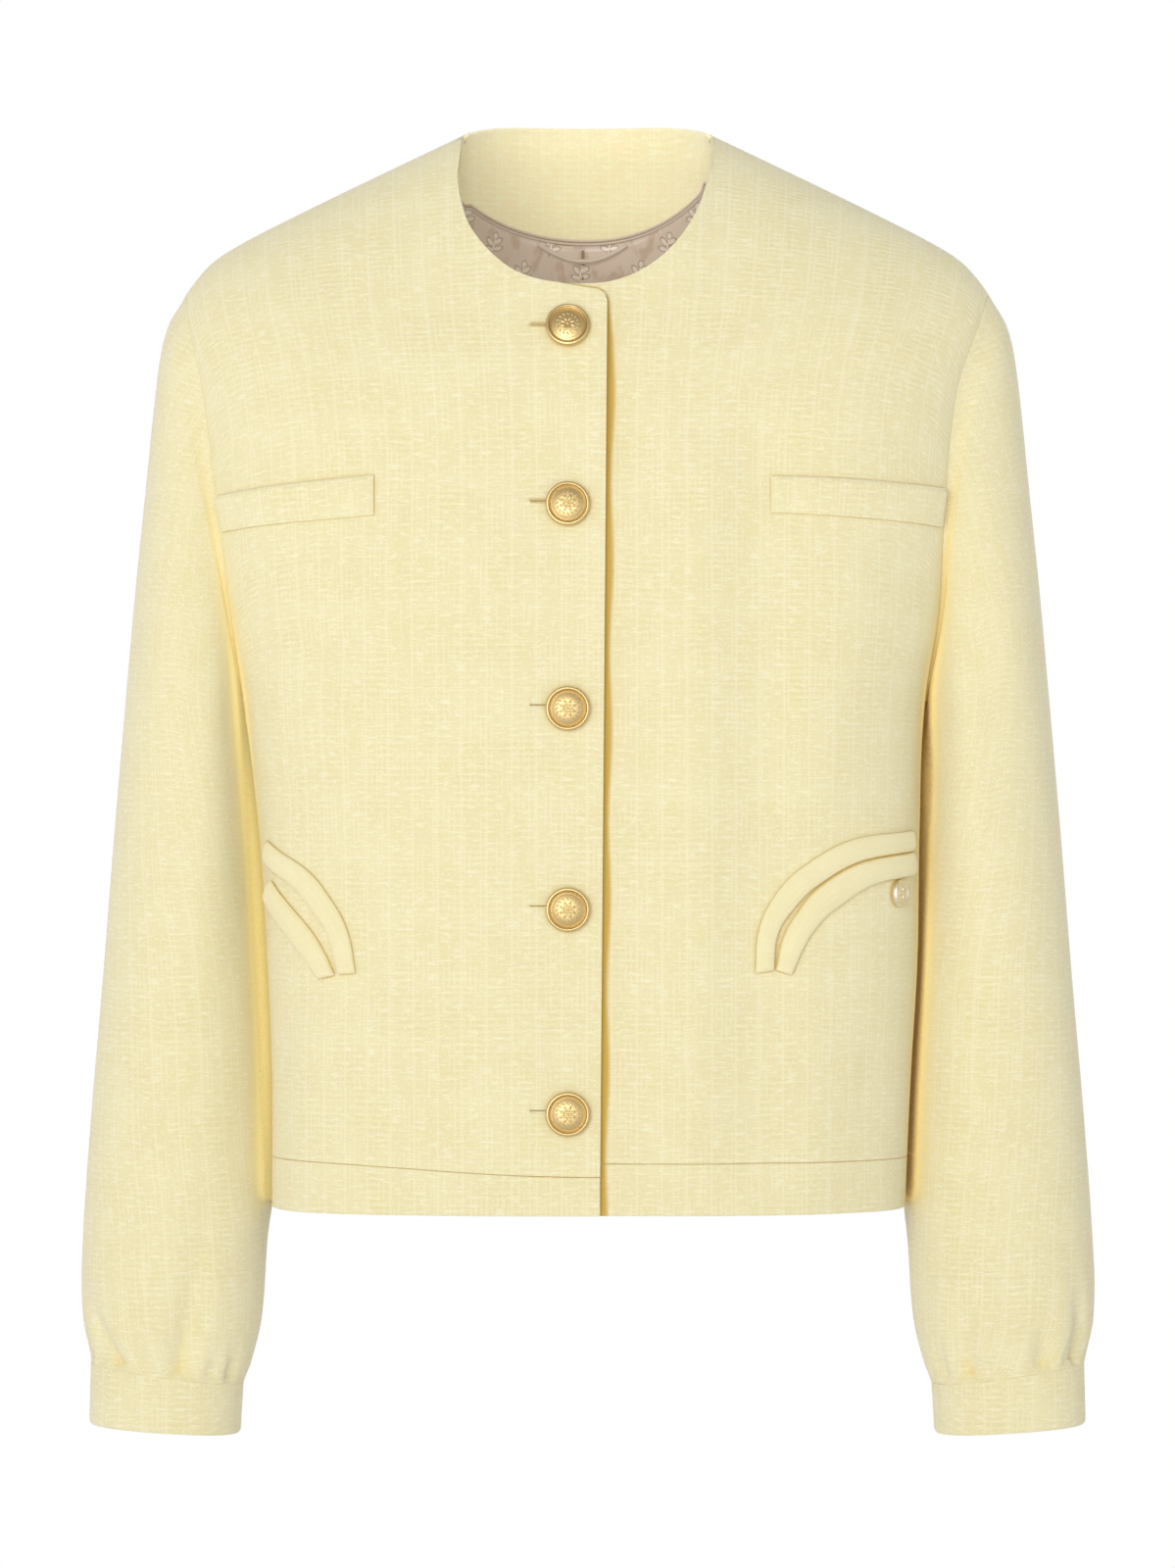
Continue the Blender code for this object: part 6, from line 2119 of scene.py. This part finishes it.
points, ways = [], []
for z in np.arange(*PLEAT_STITCH_HEIGHTS):
    point, way = on_lining(PLEAT_SEAM_X, z)
    points.append(point)
    ways.append(way)
for z in np.arange(*TACK_HEIGHTS):
    points.append(on_lining(PLEAT_SEAM_X, z)[0])
    ways.append((1.0, 0.0, 0.0))
outs = [(0.0, -1.0, 0.0)] * len(points)
thread = (PLEAT_STITCH_LENGTH, LINING_THREAD, LINING_THREAD_LOOK)
PIECES["pleat stitches"] = sew("lining pleat stitches", points, ways, outs, *thread)
print("lining stitches:", len(points))

# %% [markdown]
# ## Finishes, slots and cuts
# Every piece rides on the jacket's one body, hides the plain solid it stands
# for, and takes its materials. The size of each cloth piece's flat cut is read
# off the UV map in metres and printed.

# %% What each piece stands for
POCKET_WELTS = [name for name in PIECES if name.startswith("pocket welt")]
BUTTONS = [name for name in PIECES if name.startswith("button ")]
BANDS = ("hem band front right", "hem band back", "cuff right", "cuff left")
DRESSES = named_rows(
    "slot looks pieces",
    ("tweed", (TWEED_LOOK, LINING_LOOK), ("front right", "back") + BANDS),
    ("tweed", (UNDER_LAP_LOOK, LINING_LOOK), ("front left", "hem band front left")),
    ("tweed", (RIGHT_SLEEVE_LOOK, LINING_LOOK), ("sleeve right",)),
    ("tweed", (LEFT_SLEEVE_LOOK, LINING_LOOK), ("sleeve left",)),
    ("tweed", (FACING_LOOK,), ("back neck facing",)),
    ("tweed", (TWEED_LOOK,), ("chest welt right", "chest welt left")),
    ("tweed", (WELT_LOOK,), POCKET_WELTS),
    ("tweed", (), ("buttonhole stitches",)),
    ("lining", (LINING_LOOK,), ("lining back",)),
    ("lining", (PIPING_LOOK,), ("piping 1", "piping 2", "hanger loop")),
    ("lining", (), ("pleat stitches",)),
    ("gold", (PALE_GOLD_LOOK,), ("pocket stud",)),
    ("gold", (GOLD_LOOK,), BUTTONS),
)
# A piece stands for the solid of its own name, apart from these.
OTHER_SOLIDS = {
    "piping 1": ["lining_piping"],
    "piping 2": [],
    "buttonhole stitches": [],
    "pleat stitches": [],
}

# %% Put the finishes on
for dress in DRESSES:
    for name in dress.pieces:
        piece = PIECES[name]
        if dress.looks:
            piece.data.materials.clear()
        for look in dress.looks:
            piece.data.materials.append(look)
        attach(piece, "root")
        solids = OTHER_SOLIDS.get(name, [name.replace(" ", "_")])
        if solids:
            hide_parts(*solids)
print("dressed:", sum(len(dress.pieces) for dress in DRESSES), "pieces")

# %% The cuts
SHEETS = named_rows(
    "piece held rests_on",
    ("back", "hung", ()),
    ("front right", "hung", ("back",)),
    ("front left", "hung", ("back",)),
    ("hem band back", "hung", ("back",)),
    ("hem band front right", "hung", ("front right",)),
    ("hem band front left", "hung", ("front left",)),
    ("sleeve right", "hung", ("back", "front right")),
    ("sleeve left", "hung", ("back", "front left")),
    ("cuff right", "hung", ("sleeve right",)),
    ("cuff left", "hung", ("sleeve left",)),
    ("back neck facing", "laid", ("back",)),
    ("lining back", "hung", ("back neck facing",)),
    ("chest welt right", "laid", ("front right",)),
    ("chest welt left", "laid", ("front left",)),
)


def flat_cut(piece):
    """Width, length and area of a wall's flat cut, from the UV map of its two faces."""
    data = piece.data
    uv = np.empty(len(data.loops) * 2)
    data.uv_layers["weave"].data.foreach_get("uv", uv)
    uv = uv.reshape(-1, 2)
    width, length = uv.max(axis=0) - uv.min(axis=0)
    area = 0.0
    for face in data.polygons:
        ring = uv[list(face.loop_indices)]
        after = np.roll(ring, -1, axis=0)
        area += abs((ring[:, 0] * after[:, 1] - ring[:, 1] * after[:, 0]).sum()) / 2
    return float(width), float(length), min(float(area) / 2, float(width * length))


for sheet in SHEETS:
    piece = PIECES[sheet.piece]
    width, length, area = flat_cut(piece)
    print("%-22s %.0f x %.0f mm, %.0f cm2" % (sheet.piece, width * 1e3, length * 1e3, area * 1e4))

# %% [markdown]
# ## Studio
# A pale floor far below, white all round, a large soft light from the front and
# a little to the wearer's right, a weaker one for the back, and a long lens at
# the height of the waist.


# %% Floor
def put_in_studio(name, data):
    made = bpy.data.objects.new(name, data)
    bpy.context.scene.collection.objects.link(made)
    return made


FLOOR_Z = -1.15
FLOOR_REACH = 4.0
corners = ((-1, -1), (1, -1), (1, 1), (-1, 1))
corners = [(x * FLOOR_REACH, y * FLOOR_REACH, FLOOR_Z) for x, y in corners]
floor_data = new_mesh("studio floor", corners, [(0, 1, 2, 3)])
floor = put_in_studio("studio floor", floor_data)
floor_look, _, floor_shader = new_material("pale floor")
set_sockets(floor_shader, Base_Color=(0.9, 0.9, 0.9, 1.0), Roughness=0.9)
floor_data.materials.append(floor_look)
floor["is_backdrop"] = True


# %% Lights
CENTRE = (0.0, 0.0, -0.33)


def area_light(name, place, size, power):
    """A square soft light, turned to the middle of the jacket."""
    data = bpy.data.lights.new(name, "AREA")
    data.shape = "SQUARE"
    data.size = size
    data.energy = power
    made = put_in_studio(name, data)
    made.location = place
    way = Vector(CENTRE) - Vector(place)
    made.rotation_euler = way.to_track_quat("-Z", "Y").to_euler()


area_light("large soft light", (-0.8, -4.8, 0.0), 2.8, 139.0)
area_light("soft light from behind", (1.6, 4.6, 0.4), 2.6, 80.0)

# %% Surroundings
# They are white at eye height, all round, and dimmer above and below.
WHITE_BAND = (0.145, 0.34)
DIM = 0.4
world = bpy.data.worlds.new("white surroundings")
bpy.context.scene.world = world
world.use_nodes = True
sky_tree = world.node_tree
way = add_node(sky_tree, "ShaderNodeTexCoord").outputs["Generated"]
rise = axes(sky_tree, way)[2]
dimming = between(sky_tree, calc(sky_tree, "ABSOLUTE", rise), *WHITE_BAND)
brightness = calc(sky_tree, "MULTIPLY_ADD", dimming, DIM - 1.0, 1.0)
backlight = sky_tree.nodes["Background"]
set_sockets(backlight, Color=(1.0, 1.0, 1.0, 1.0))
connect(sky_tree, backlight.inputs["Strength"], brightness)

# %% Camera
CAMERA_PLACE = (0.0, -4.0, -0.3315)
lens = bpy.data.cameras.new("long lens")
lens.lens = 180.0
lens.sensor_width = 36.0
lens.clip_end = 50.0
camera = put_in_studio("camera", lens)
camera.location = CAMERA_PLACE
camera.rotation_euler = (math.radians(90), 0.0, 0.0)
bpy.context.scene.camera = camera
bpy.context.scene.view_settings.view_transform = "Standard"
print("camera", CAMERA_PLACE, "lens", lens.lens, "mm")

# %% [markdown]
# The box of the dressed jacket is measured and printed beside the plain
# solids' box. The dressed jacket has to keep the plain solids' box.

# %% Sizes
bpy.context.view_layer.update()
DRESSED_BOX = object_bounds()
sizes = {"cad": [list(corner) for corner in SOLID_BOX], "scene": [list(corner) for corner in DRESSED_BOX]}
for label, box in sizes.items():
    print(label, [[round(v * 1e3, 1) for v in corner] for corner in box])
